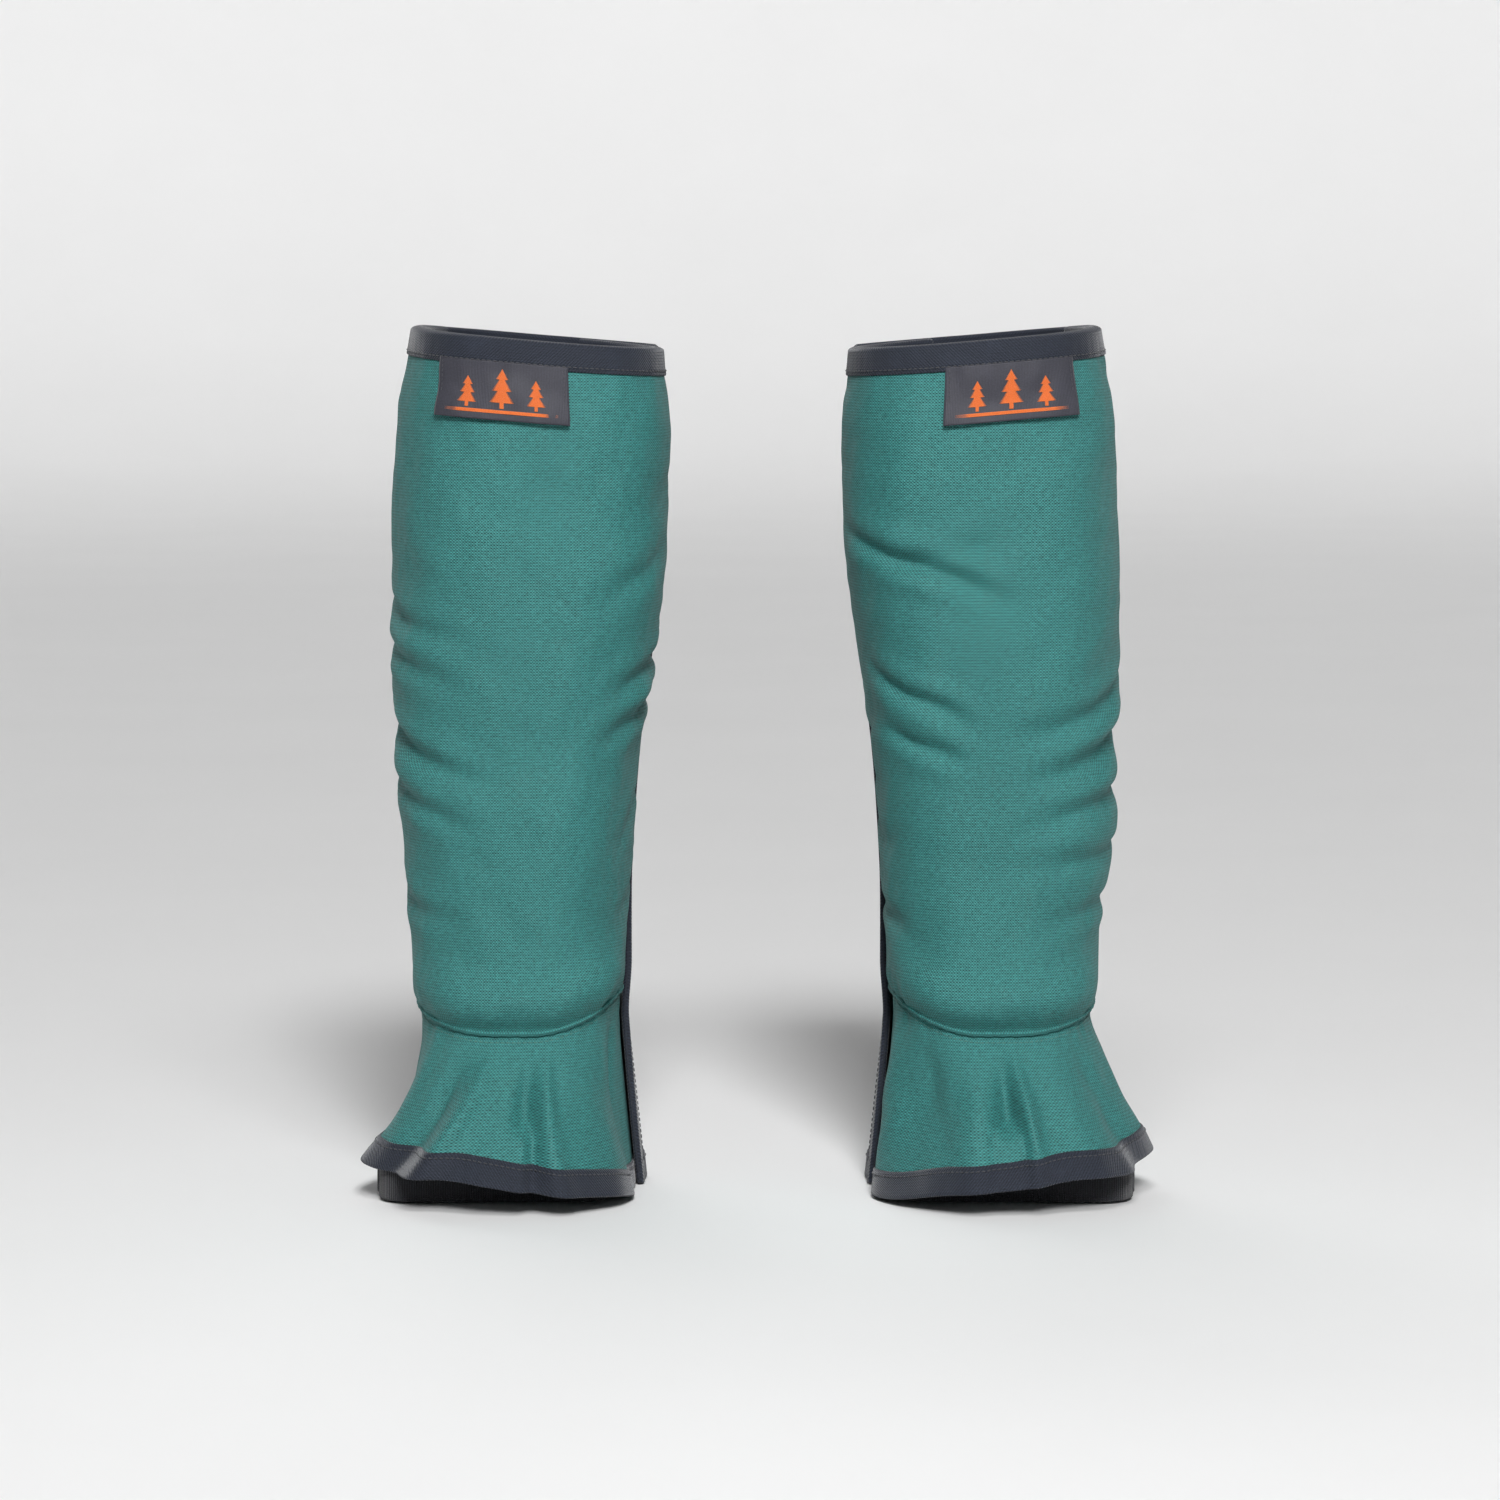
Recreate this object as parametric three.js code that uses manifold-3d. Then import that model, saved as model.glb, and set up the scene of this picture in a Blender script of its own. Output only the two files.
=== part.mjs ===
// A pair of chainsaw gaiters: padded calf chaps with a flared boot cover, a hook-and-loop
// back flap with three cinch straps, an underfoot strap and a lace hook.
// Units are millimetres and +Z is up. The front faces -Y and the wearer's left leg is at +X.
// Each gaiter is made in its own leg frame, where +x is the lateral (outer) side and the
// ankle axis is at x = 0, y = 0. The wearer's right gaiter is the mirror image of the left.

import * as THREE from "three";
import { mergeVertices } from "three/addons/utils/BufferGeometryUtils.js";
import Module from "manifold-3d";

const wasm = await Module();
wasm.setup();

// ---------------------------------------------------------------- driving dimensions

const STANCE = 129; // pair's middle plane to each ankle axis
const GAP = 0.4; // between two pieces that touch
const ROWS = [46, 72, 98, 124, 146, 168, 194, 232, 275, 318, 361, 404, 436]; // shared heights
const TOP_HEIGHT = 470; // rim at the front
const RIM_TILT = 6; // how much higher the rim is at the lateral side, and lower at the medial
const SEAM_HEIGHT = 92; // ankle seam at the front
const SEAM_RISE = { lateral: 11, medial: 17 }; // how much higher the ankle seam is at each side
const HEM_LIFT = 17; // how far the hem stands up over the instep

// The padded tube, from the hem up: distances from the ankle axis to the outer face.
const LEG_FORM = [
  { z: 0, lateral: 58, medial: 56, front: 65, back: 62 },
  { z: 95, lateral: 57, medial: 53, front: 63, back: 60 },
  { z: 165, lateral: 62, medial: 56, front: 63, back: 62 },
  { z: 240, lateral: 66.5, medial: 61.5, front: 66, back: 67 },
  { z: 330, lateral: 69.5, medial: 75, front: 70, back: 72 },
  { z: 420, lateral: 66, medial: 79.5, front: 69, back: 70 },
  { z: 480, lateral: 59, medial: 76, front: 66, back: 66 },
];
const FRONT_SQUARENESS = 2.6; // 2 is an ellipse, more is squarer
const BACK_SQUARENESS = 2.2;

// The boot cover flares out below the ankle seam.
const FLARE = { from: 95, height: 81, power: 1.1, lateral: 34, front: 52, toeOut: 11 };

// Fabric and pad thicknesses.
const SHELL = 0.9;
const PAD = 2.2;
const LINING = 0.9;
const COVER = 1.2;
const PANEL = 2;
const TAPE = 1; // binding tape, folded over an edge
const TAPE_LEG = 12.5; // how far the binding reaches in from the edge
const HOOK_LOOP = 1.2;
const CLOSURE_GAP = 0.6; // between the layers of the closure

// Angles round the leg, in degrees: 0 lateral, 90 front, 180 medial, 270 back.
const SEAM_ANGLE = -40; // lateral seam, where the back flap is sewn on
const SEAM_SLIT = 1.3; // half the slit at that seam

// Millimetres along the leg from the flap's medial edge.
const MARGIN = 48; // how far the front panel's edge runs on under the flap
const HOOK_LOOP_FROM = 14.5;
const HOOK_LOOP_TO = 33.5;

const LABEL = { from: 55, to: 113.5, height: 32, thick: 0.8 };
const PIPING = { thick: 2.4, proud: 2.2 };

// Cinch straps across the back flap, and their 20 mm side-release buckles.
const STRAPS = { lower: 150, middle: 262, upper: 374 };
const WEB = { width: 20, thick: 1.5, fixedFrom: 311, adjustTo: 222, gap: 0.8 };
const BUCKLE = {
  stand: 10.5, // flap to the buckle's middle plane
  width: 27,
  thick: 8,
  wall: 1.6,
  socketLength: 24,
  plugBody: 14,
  prongLength: 17,
  barWidth: 3,
  slot: 4,
};

// Underfoot strap: a U on edge that lies forward inside the hem.
const UNDERFOOT = { width: 20, thick: 2, half: 63, reach: 60, corner: 18, y: -14, floor: 1, centre: 14 };
const LADDER = { length: 18, width: 24, thick: 3, at: -42 };
const LACE_HOOK = { width: 12, thick: 1.6, drop: 15, gap: 5, z: 34, y: -97 };

const GREEN = { color: 0x2f7368, roughness: 0.72, metalness: 0 };
const BLACK = { color: 0x23252b, roughness: 0.8, metalness: 0 };
const PAD_WHITE = { color: 0xd9d3bd, roughness: 0.95, metalness: 0 };
const LABEL_GREY = { color: 0x32333c, roughness: 0.8, metalness: 0 };
const PLASTIC = { color: 0x17181a, roughness: 0.45, metalness: 0 };
const STEEL = { color: 0xb8bcc2, roughness: 0.35, metalness: 1 };

// ---------------------------------------------------------------- the leg's shape

const rad = THREE.MathUtils.degToRad;
const lerp = THREE.MathUtils.lerp;
const smooth = (x, from, to) => THREE.MathUtils.smoothstep(x, from, to);

// A smooth curve through LEG_FORM's values of one name.
function formAt(z, name) {
  const end = LEG_FORM.length - 1;
  const height = THREE.MathUtils.clamp(z, 0, LEG_FORM[end].z);
  let i = 0;
  while (i < end - 1 && height > LEG_FORM[i + 1].z) i += 1;
  const slope = (j) => {
    const before = LEG_FORM[Math.max(j - 1, 0)];
    const after = LEG_FORM[Math.min(j + 1, end)];
    return (after[name] - before[name]) / (after.z - before.z);
  };
  const [a, b] = [LEG_FORM[i], LEG_FORM[i + 1]];
  const span = b.z - a.z;
  const t = (height - a.z) / span;
  const rise = t * t * (3 - 2 * t);
  const bend = slope(i) * t * (1 - t) ** 2 - slope(i + 1) * t * t * (1 - t);
  return lerp(a[name], b[name], rise) + span * bend;
}

// The plan point of the outer face at an angle (degrees) and height.
function outline(angle, z) {
  const [c, s] = [Math.cos(rad(angle)), Math.sin(rad(angle))];
  const power = s > 0 ? FRONT_SQUARENESS : BACK_SQUARENESS;
  const across = Math.abs(c) / formAt(z, c > 0 ? "lateral" : "medial");
  const along = Math.abs(s) / formAt(z, s > 0 ? "front" : "back");
  const radius = (across ** power + along ** power) ** (-1 / power);
  const turn = angle > 270 ? angle - 360 : angle;
  const share = smooth(turn, -34, 20) * (1 - 0.85 * smooth(turn, 105, 172));
  const out = share * Math.max(0, (FLARE.from - z) / FLARE.height) ** FLARE.power;
  const front = Math.max(0, s);
  return new THREE.Vector2(
    radius * c + out * (FLARE.lateral * c + FLARE.toeOut * front),
    -radius * s - out * FLARE.front * front,
  );
}

// A point `offset` outside the outer face.
function onLeg(angle, z, offset) {
  const here = outline(angle, z);
  const way = outline(angle + 0.5, z).sub(outline(angle - 0.5, z)).normalize();
  return new THREE.Vector3(here.x - offset * way.y, here.y + offset * way.x, z);
}

// Degrees for one millimetre along the outer face.
function degreesPerMm(angle, z) {
  return 1 / outline(angle + 0.5, z).distanceTo(outline(angle - 0.5, z));
}

const rimZ = (angle) => TOP_HEIGHT + RIM_TILT * Math.cos(rad(angle));
const seamZ = (angle) =>
  SEAM_HEIGHT +
  SEAM_RISE.lateral * (1 - smooth(angle, 5, 78)) +
  SEAM_RISE.medial * smooth(angle, 96, 160);
const hemZ = (angle) => HEM_LIFT * smooth(angle, -36, 15) * (1 - smooth(angle, 66, 160));

// The flap's medial edge: at the back of the leg up high, and forward of the ankle below.
const flapEdge = (z) => 206 - 36 * (1 - smooth(z, 10, 180));
const fromFlapEdge = (z, distance) => flapEdge(z) + distance * degreesPerMm(flapEdge(z) + 15, z);
const frontEdge = (z) => fromFlapEdge(z, MARGIN);

// The flap lies on the leg at its seam, and steps out over the front panel at its edge.
function flapInside(angle, z) {
  const lift = 2 * HOOK_LOOP + 3 * CLOSURE_GAP;
  const from = frontEdge(z) + 4;
  return lerp(lift, -PANEL, smooth(angle, from, from + 28));
}
const flapOutside = (angle, z) => flapInside(angle, z) + PANEL;

// ---------------------------------------------------------------- making solids

// Turns a closed geometry's faces outwards, and drops what only drawing needs.
function closed(geometry) {
  geometry.deleteAttribute("normal");
  geometry.deleteAttribute("uv");
  geometry.clearGroups();
  const merged = mergeVertices(geometry, 1e-4);
  const at = merged.getAttribute("position");
  const index = merged.getIndex().array;
  const [a, b, c] = [new THREE.Vector3(), new THREE.Vector3(), new THREE.Vector3()];
  let volume = 0;
  for (let i = 0; i < index.length; i += 3) {
    a.fromBufferAttribute(at, index[i]);
    b.fromBufferAttribute(at, index[i + 1]);
    c.fromBufferAttribute(at, index[i + 2]);
    volume += a.dot(b.cross(c));
  }
  if (volume < 0) {
    for (let i = 0; i < index.length; i += 3) {
      [index[i + 1], index[i + 2]] = [index[i + 2], index[i + 1]];
    }
  }
  merged.computeVertexNormals();
  return merged;
}

// A box with a grid on its faces, each point of which place(u, v, w) moves; u, v, w run 0 to 1.
function bentBox(columns, rows, place) {
  const box = new THREE.BoxGeometry(1, 1, 1, columns, rows, 1);
  const at = box.getAttribute("position");
  for (let i = 0; i < at.count; i += 1) {
    const p = place(at.getX(i) + 0.5, at.getY(i) + 0.5, at.getZ(i) + 0.5);
    at.setXYZ(i, p.x, p.y, p.z);
  }
  // The inner face's squares are split the same way as the outer face's.
  const index = box.getIndex().array;
  const inner = box.groups[5];
  for (let i = inner.start; i < inner.start + inner.count; i += 6) {
    const [a, b, d, , c] = index.slice(i, i + 6);
    index.set([a, b, c, a, c, d], i);
  }
  return box;
}

// Angles from one edge of a sheet to the other, with a narrow column along each bound edge.
function stations(from, to, columns, z, bound) {
  const narrow = (angle) => (TAPE_LEG + 3) * degreesPerMm(angle, z);
  const first = from + (bound.includes("from") ? narrow(from + 4) : 0);
  const last = to - (bound.includes("to") ? narrow(to - 4) : 0);
  const inner = steps(columns).map((t) => lerp(first, last, t));
  return [...new Set([from, ...inner, to])];
}

// Where a sheet's column meets one of its levels. The angle depends on the height and the
// height on the angle: a few rounds settle it.
function gridPoint(edges, column, bottom, top, level) {
  let z = TOP_HEIGHT / 2;
  let angle = 0;
  for (let round = 0; round < 6; round += 1) {
    angle = edges(z).at(column);
    z = lerp(bottom(angle), top(angle), level);
  }
  return { angle, z };
}

// A sheet of the leg between two edges and two heights, from one offset to another.
function legSheet({ edges, bottom, top, inside, outside, levels }) {
  const columns = edges(TOP_HEIGHT / 2).length - 1;
  return bentBox(columns, levels.length - 1, (u, v, w) => {
    const level = levels[Math.round(v * (levels.length - 1))];
    const { angle, z } = gridPoint(edges, Math.round(u * columns), bottom, top, level);
    return onLeg(angle, z, lerp(inside(angle, z), outside(angle, z), w));
  });
}

// Levels for a sheet between two heights, with a narrow row along each bound edge.
function levelsBetween(bottom, top, boundBelow) {
  const narrow = TAPE_LEG + 3;
  const low = boundBelow ? [bottom, bottom + narrow] : [bottom];
  const inner = ROWS.filter((z) => z > low.at(-1) + 8 && z < top - narrow - 8);
  return [...low, ...inner, top - narrow, top].map((z) => (z - bottom) / (top - bottom));
}

// Binding tape folded over an edge. Each path point has an angle, a height and the way in
// from the edge, as [along the face, up] in units of the tape's reach.
function binding(path, inside, outside) {
  const last = path.length - 1;
  return bentBox(last, 3, (u, v, w) => {
    const p = path[Math.round(u * last)];
    const corner = Math.round(v * 3);
    const beyond = GAP + TAPE * w;
    const isLeg = corner === 0 || corner === 3;
    const reach = isLeg ? (p.reach ?? TAPE_LEG) : -(p.short ?? beyond);
    const angle = p.angle + p.way[0] * reach * degreesPerMm(p.angle, p.z);
    const z = p.z + p.way[1] * reach;
    const offset = corner < 2 ? outside(angle, z) + beyond : inside(angle, z) - beyond;
    return onLeg(angle, z, offset);
  });
}

const steps = (count) => Array.from({ length: count + 1 }, (_, i) => i / count);
const flat = (value) => () => value;

// An outline of [x, y] points, extruded along +z by `depth` from z = 0.
function plate(points, depth) {
  const shape = new THREE.Shape(points.map(([x, y]) => new THREE.Vector2(x, y)));
  return new THREE.ExtrudeGeometry(shape, { depth, bevelEnabled: false, curveSegments: 4 });
}

const rectangle = (x0, y0, x1, y1) => [
  [x0, y0],
  [x1, y0],
  [x1, y1],
  [x0, y1],
];

// A rectangle with its corners cut off.
const cutRectangle = (x0, y0, x1, y1, cut) => [
  [x0 + cut, y0],
  [x1 - cut, y0],
  [x1, y0 + cut],
  [x1, y1 - cut],
  [x1 - cut, y1],
  [x0 + cut, y1],
  [x0, y1 - cut],
  [x0, y0 + cut],
];

// A closed shape as a solid that can be cut by others.
function toSolid(geometry) {
  const made = closed(geometry);
  return new wasm.Manifold(
    new wasm.Mesh({
      numProp: 3,
      vertProperties: made.getAttribute("position").array,
      triVerts: new Uint32Array(made.getIndex().array),
    }),
  );
}

function fromSolid(solid) {
  const mesh = solid.getMesh();
  return new THREE.BufferGeometry()
    .setAttribute("position", new THREE.BufferAttribute(mesh.vertProperties, 3))
    .setIndex(new THREE.BufferAttribute(mesh.triVerts, 1));
}

// A plate with outlines cut through it.
function slottedPlate(points, depth, holes) {
  let solid = toSolid(plate(points, depth));
  for (const hole of holes) {
    solid = solid.subtract(toSolid(plate(hole, depth + 2)).translate([0, 0, -1]));
  }
  return fromSolid(solid);
}

// ---------------------------------------------------------------- front panel

const FRONT_COLUMNS = 13;
const PANEL_TOP = TOP_HEIGHT - RIM_TILT - TAPE - GAP;
const FRONT_LEVELS = levelsBetween(SEAM_HEIGHT + SEAM_RISE.medial + 1, PANEL_TOP, false);
const COVER_LEVELS = [0, 0.19, 0.36, 0.53, 0.71, 0.9, 1];
const SEAM_SIDE = SEAM_ANGLE + SEAM_SLIT;

const frontEdges = (z) => stations(SEAM_SIDE, frontEdge(z), FRONT_COLUMNS, z, "to");
const frontTop = (angle) => rimZ(angle) - TAPE - GAP;
const frontBottom = (angle) => seamZ(angle) + 1;
const coverTop = (angle) => seamZ(angle) + 1 - GAP;
const coverBottom = (angle) => hemZ(angle) + TAPE + GAP;

// One of the layers of the padded front, from the ankle seam to the rim.
function frontLayer(inside, thick) {
  return legSheet({
    edges: frontEdges,
    bottom: frontBottom,
    top: frontTop,
    inside: flat(inside),
    outside: flat(inside + thick),
    levels: FRONT_LEVELS,
  });
}

const KNIT_INSIDE = -SHELL - GAP - PAD;
const FELT_INSIDE = KNIT_INSIDE - GAP - PAD;
const LINING_INSIDE = FELT_INSIDE - GAP - LINING;

function bootCover() {
  return legSheet({
    edges: frontEdges,
    bottom: coverBottom,
    top: coverTop,
    inside: flat(-COVER),
    outside: flat(0),
    levels: COVER_LEVELS,
  });
}

// Points along a rim or a hem, at the sheet's own columns.
function edgePath(edges, height, up) {
  return edges(TOP_HEIGHT / 2).map((_, column) => ({
    ...gridPoint(edges, column, height, height, 0),
    way: [0, up],
  }));
}

// Points up a sheet's edge, at the sheet's own levels.
function sidePath(edges, column, way, bottom, top, levels) {
  return levels.map((level) => ({
    ...gridPoint(edges, column, bottom, top, level),
    way: [way, 0],
  }));
}

function topBinding() {
  return binding(edgePath(frontEdges, frontTop, -1), flat(LINING_INSIDE), flat(0));
}

// Round the boot cover's hem, and up the front panel's medial edge to the rim's binding.
function frontBinding() {
  const hem = edgePath(frontEdges, coverBottom, 1);
  hem[hem.length - 1].way = [-1, 1];
  const side = (bottom, top, levels) => sidePath(frontEdges, -1, -1, bottom, top, levels);
  const cover = side(coverBottom, coverTop, COVER_LEVELS.slice(1, -1));
  const panel = side(frontBottom, frontTop, FRONT_LEVELS.slice(0, -1));
  const seam = seamZ(frontEdge(SEAM_HEIGHT));
  const step = [{ angle: frontEdge(seam - 2), z: seam - 2, way: [-1, 0] }];
  const inside = (angle, z) => (z < seam - 5 ? -COVER : LINING_INSIDE) - 3 * GAP;
  const outside = (angle) => lerp(3, 1, smooth(angle, 125, 150)) * GAP;
  return binding([...hem, ...cover, ...step, ...panel], inside, outside);
}

function anklePiping() {
  const half = PIPING.thick / 2;
  const end = flapEdge(SEAM_HEIGHT) - 6;
  const angles = [...frontEdges(SEAM_HEIGHT).filter((angle) => angle < end - 2), end];
  const last = angles.length - 1;
  return bentBox(last, 1, (u, v, w) => {
    const angle = angles[Math.round(u * last)];
    const z = seamZ(angle) + 1 + lerp(-half, half, v);
    return onLeg(angle, z, lerp(2 * GAP, PIPING.proud, w));
  });
}

function wovenLabel() {
  return bentBox(5, 2, (u, v, w) => {
    const angle = lerp(LABEL.from, LABEL.to, u);
    const top = rimZ(angle) - TAPE_LEG - TAPE - 2 * GAP;
    return onLeg(angle, top - LABEL.height * (1 - v), GAP + LABEL.thick * w);
  });
}

// One half of the hook-and-loop closure, on the margin that the flap covers.
function closureTape(offset) {
  return legSheet({
    edges: (z) => steps(2).map((t) => fromFlapEdge(z, lerp(HOOK_LOOP_FROM, HOOK_LOOP_TO, t))),
    bottom: flat(ROWS[3]),
    top: flat(ROWS.at(-1)),
    inside: flat(offset),
    outside: flat(offset + HOOK_LOOP),
    levels: ROWS.slice(3).map((z) => (z - ROWS[3]) / (ROWS.at(-1) - ROWS[3])),
  });
}

// ---------------------------------------------------------------- back flap

const FLAP_LEVELS = levelsBetween(TAPE + GAP, PANEL_TOP, true);
const FLAP_SIDE = 360 + SEAM_ANGLE - SEAM_SLIT;

const flapEdges = (z) => stations(flapEdge(z), FLAP_SIDE, 12, z, "from");
const flapBottom = flat(TAPE + GAP);

function backPanel() {
  return legSheet({
    edges: flapEdges,
    bottom: flapBottom,
    top: frontTop,
    inside: flapInside,
    outside: flapOutside,
    levels: FLAP_LEVELS,
  });
}

// One tape round the flap: along the hem, up the medial edge and back along the rim.
function flapBinding() {
  const hem = edgePath(flapEdges, flapBottom, 1).reverse();
  hem[hem.length - 1].way = [1, 1];
  const side = sidePath(flapEdges, 0, 1, flapBottom, frontTop, FLAP_LEVELS.slice(1, -1));
  const rim = edgePath(flapEdges, frontTop, -1);
  rim[0].way = [1, -1];
  const inside = (angle, z) => flapInside(angle, z) - GAP;
  const outside = (angle, z) => flapOutside(angle, z) + GAP / 2;
  return binding([...hem, ...side, ...rim], inside, outside);
}

// ---------------------------------------------------------------- cinch straps

// Where a strap's buckle sits: its middle plane, tangent to the back of the leg.
const buckleY = (z) => formAt(z, "back") + BUCKLE.stand - BUCKLE.thick / 2 + 2;

// A band of webbing on the flap, which rises to the buckle's bar at one end.
function webbing(z, from, barX) {
  const barAngle = 270 + THREE.MathUtils.radToDeg(Math.asin(barX / formAt(z, "lateral")));
  return bentBox(7, 1, (u, v, w) => {
    const angle = lerp(from, barAngle, u);
    const height = z + lerp(-0.5, 0.5, v) * WEB.width;
    const low = flapOutside(angle, height) + WEB.gap;
    const rise = buckleY(z) - WEB.thick / 2 - outline(barAngle, z).y;
    const offset = lerp(low, Math.max(low, rise), smooth(u, 0.25, 1)) + WEB.thick * w;
    const p = onLeg(angle, height, offset);
    return u === 1 ? new THREE.Vector3(barX, p.y, p.z) : p;
  });
}

// Turns a plate drawn in x (along the strap) and y (across it) to stand on the back of the leg.
function onBack(geometry, z) {
  return geometry
    .translate(0, 0, -BUCKLE.thick / 2)
    .rotateX(Math.PI / 2)
    .translate(0, buckleY(z), z);
}

// The socket opens towards -x. Its sides are open where the plug's prongs are pressed.
function buckleSocket(z) {
  const { width, thick, wall, socketLength, barWidth, slot } = BUCKLE;
  const half = width / 2;
  const block = toSolid(plate(cutRectangle(-4, -half, socketLength, half, 2), thick));
  const hollowLength = socketLength - 2 * barWidth - slot;
  const hollow = toSolid(plate(rectangle(-8, -half - 1, hollowLength, half + 1), thick - 2 * wall));
  const slotX = socketLength - barWidth - slot;
  const webSlot = toSolid(
    plate(rectangle(slotX, -WEB.width / 2 - 0.5, slotX + slot, WEB.width / 2 + 0.5), thick + 2),
  );
  const cut = block.subtract(hollow.translate([0, 0, wall])).subtract(webSlot.translate([0, 0, -1]));
  // Two posts join the plates between the prongs and the guide.
  const post = toSolid(plate(rectangle(-1, 4.4, 3, 6), thick));
  const otherPost = toSolid(plate(rectangle(-1, -6, 3, -4.4), thick));
  return onBack(fromSolid(cut.add(post).add(otherPost)), z);
}

// The plug: a two-bar body, a middle guide and two springy prongs that fill the open sides.
function buckleProngs(z) {
  const { width, thick, wall, plugBody, prongLength, barWidth, slot } = BUCKLE;
  const half = width / 2;
  const back = -4 - GAP;
  const tip = back + prongLength;
  const bodyEnd = back - plugBody;
  const outlinePoints = [
    [bodyEnd, -half + 2],
    [bodyEnd + 2, -half],
    [back - 1, -half],
    [back + 5, -half + 2.2],
    [tip - 4, -half - 0.2],
    [tip, -half + 3],
    [tip, -half + 5],
    [back + 1, -half + 6.4],
    [back, -3],
    [tip - 1, -2.2],
    [tip - 1, 2.2],
    [back, 3],
    [back + 1, half - 6.4],
    [tip, half - 5],
    [tip, half - 3],
    [tip - 4, half + 0.2],
    [back + 5, half - 2.2],
    [back - 1, half],
    [bodyEnd + 2, half],
    [bodyEnd, half - 2],
  ];
  const inner = WEB.width / 2 + 0.5;
  const slots = [0, 1].map((i) => {
    const x = bodyEnd + barWidth * 0.8 + i * (slot + barWidth * 0.8);
    return rectangle(x, -inner, x + slot, inner);
  });
  const height = thick - 2 * wall - 1;
  return onBack(slottedPlate(outlinePoints, height, slots).translate(0, 0, wall + 0.5), z);
}

// ---------------------------------------------------------------- underfoot strap and lace hook

// A U in plan, standing on edge; only the stretch between two of its own lengths is kept.
function underfootCurve() {
  const { half, reach, corner, y, centre } = UNDERFOOT;
  const [left, right, end] = [centre - half, centre + half, y - reach];
  const path = new THREE.CurvePath();
  const v = (px, py) => new THREE.Vector3(px, py, 0);
  path.add(new THREE.LineCurve3(v(left, y), v(left, end + corner)));
  path.add(
    new THREE.QuadraticBezierCurve3(v(left, end + corner), v(left, end), v(left + corner, end)),
  );
  path.add(new THREE.LineCurve3(v(left + corner, end), v(right - corner, end)));
  path.add(
    new THREE.QuadraticBezierCurve3(v(right - corner, end), v(right, end), v(right, end + corner)),
  );
  path.add(new THREE.LineCurve3(v(right, end + corner), v(right, y)));
  return path;
}

function underfootWeb(stops) {
  const path = underfootCurve();
  const last = stops.length - 1;
  const { width, thick, floor } = UNDERFOOT;
  return bentBox(last, 1, (u, v, w) => {
    const t = stops[Math.round(u * last)] / path.getLength();
    const p = path.getPointAt(Math.min(t, 1));
    const way = path.getTangentAt(Math.min(t, 1));
    const side = (w - 0.5) * thick;
    return new THREE.Vector3(p.x - way.y * side, p.y + way.x * side, floor + width * v);
  });
}

function underfootParts() {
  const total = underfootCurve().getLength();
  const straight = UNDERFOOT.reach - UNDERFOOT.corner;
  const arc = (total - 2 * straight - 2 * (UNDERFOOT.half - UNDERFOOT.corner)) / 2;
  const bottom = 2 * (UNDERFOOT.half - UNDERFOOT.corner);
  const buckleAt = total - (UNDERFOOT.y - LADDER.at) - LADDER.length / 2;
  const bends = (from) => [0, 0.25, 0.5, 0.75, 1].map((t) => from + t * arc);
  const strap = [0, ...bends(straight), ...bends(straight + arc + bottom), buckleAt - GAP];
  return {
    strap: underfootWeb(strap),
    tab: underfootWeb([buckleAt + LADDER.length + GAP, total]),
  };
}

// A two-slot ladder buckle in the underfoot strap's lateral side, in line with the webbing.
function ladderBuckle() {
  const { length, width, thick, at } = LADDER;
  const inner = WEB.width / 2 + 0.3;
  const bar = 2.6;
  const slot = (length - 3 * bar) / 2;
  const holes = [0, 1].map((i) => {
    const x = -length / 2 + bar + i * (slot + bar);
    return rectangle(x, -inner, x + slot, inner);
  });
  const frame = cutRectangle(-length / 2, -width / 2, length / 2, width / 2, 2);
  return slottedPlate(frame, thick, holes)
    .translate(0, 0, -thick / 2)
    .rotateX(Math.PI / 2)
    .rotateZ(Math.PI / 2)
    .translate(
      UNDERFOOT.centre + UNDERFOOT.half,
      at,
      UNDERFOOT.floor + UNDERFOOT.width / 2 + (width - UNDERFOOT.width) / 2,
    );
}

// A bent steel hook for the boot lace: its eye is at the top and its mouth opens backwards.
function laceHook() {
  const { width, thick, drop, gap, z, y } = LACE_HOOK;
  const shape = new THREE.Shape();
  const [outer, inner] = [gap / 2 + thick, gap / 2];
  const middle = y + thick / 2 + gap / 2;
  shape.moveTo(middle - outer, 0);
  shape.lineTo(middle - outer, -drop);
  shape.absarc(middle, -drop, outer, Math.PI, 2 * Math.PI, false);
  shape.lineTo(middle + outer, -drop + 7);
  shape.lineTo(middle + inner, -drop + 7);
  shape.lineTo(middle + inner, -drop);
  shape.absarc(middle, -drop, inner, 2 * Math.PI, Math.PI, true);
  shape.lineTo(middle - inner, 0);
  const made = new THREE.ExtrudeGeometry(shape, {
    depth: width,
    bevelEnabled: false,
    curveSegments: 5,
  });
  // The drawing's x is the leg's y, its y is up and its depth runs across the leg.
  const turn = new THREE.Matrix4().set(0, 0, 1, -width / 2, 1, 0, 0, 0, 0, 1, 0, z, 0, 0, 0, 1);
  return made.applyMatrix4(turn);
}

// The tab that the lace hook hangs from, sewn inside the boot cover's front.
function hookTab() {
  const { width, z, y } = LACE_HOOK;
  const faceY = (height) => onLeg(90, height, -COVER - 5 * GAP).y;
  return bentBox(1, 2, (u, v, w) => {
    const height = z + GAP + 14 * v;
    const lowY = y + 1;
    const far = lerp(faceY(height + 0.5) + 0.3, faceY(height), v);
    const front = v === 0 ? y - 1 : far;
    const back = v === 0 ? lowY + 1 : far + 1.6;
    return new THREE.Vector3((u - 0.5) * width, lerp(front, back, w), height);
  });
}

// ---------------------------------------------------------------- one gaiter, then the pair

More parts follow.
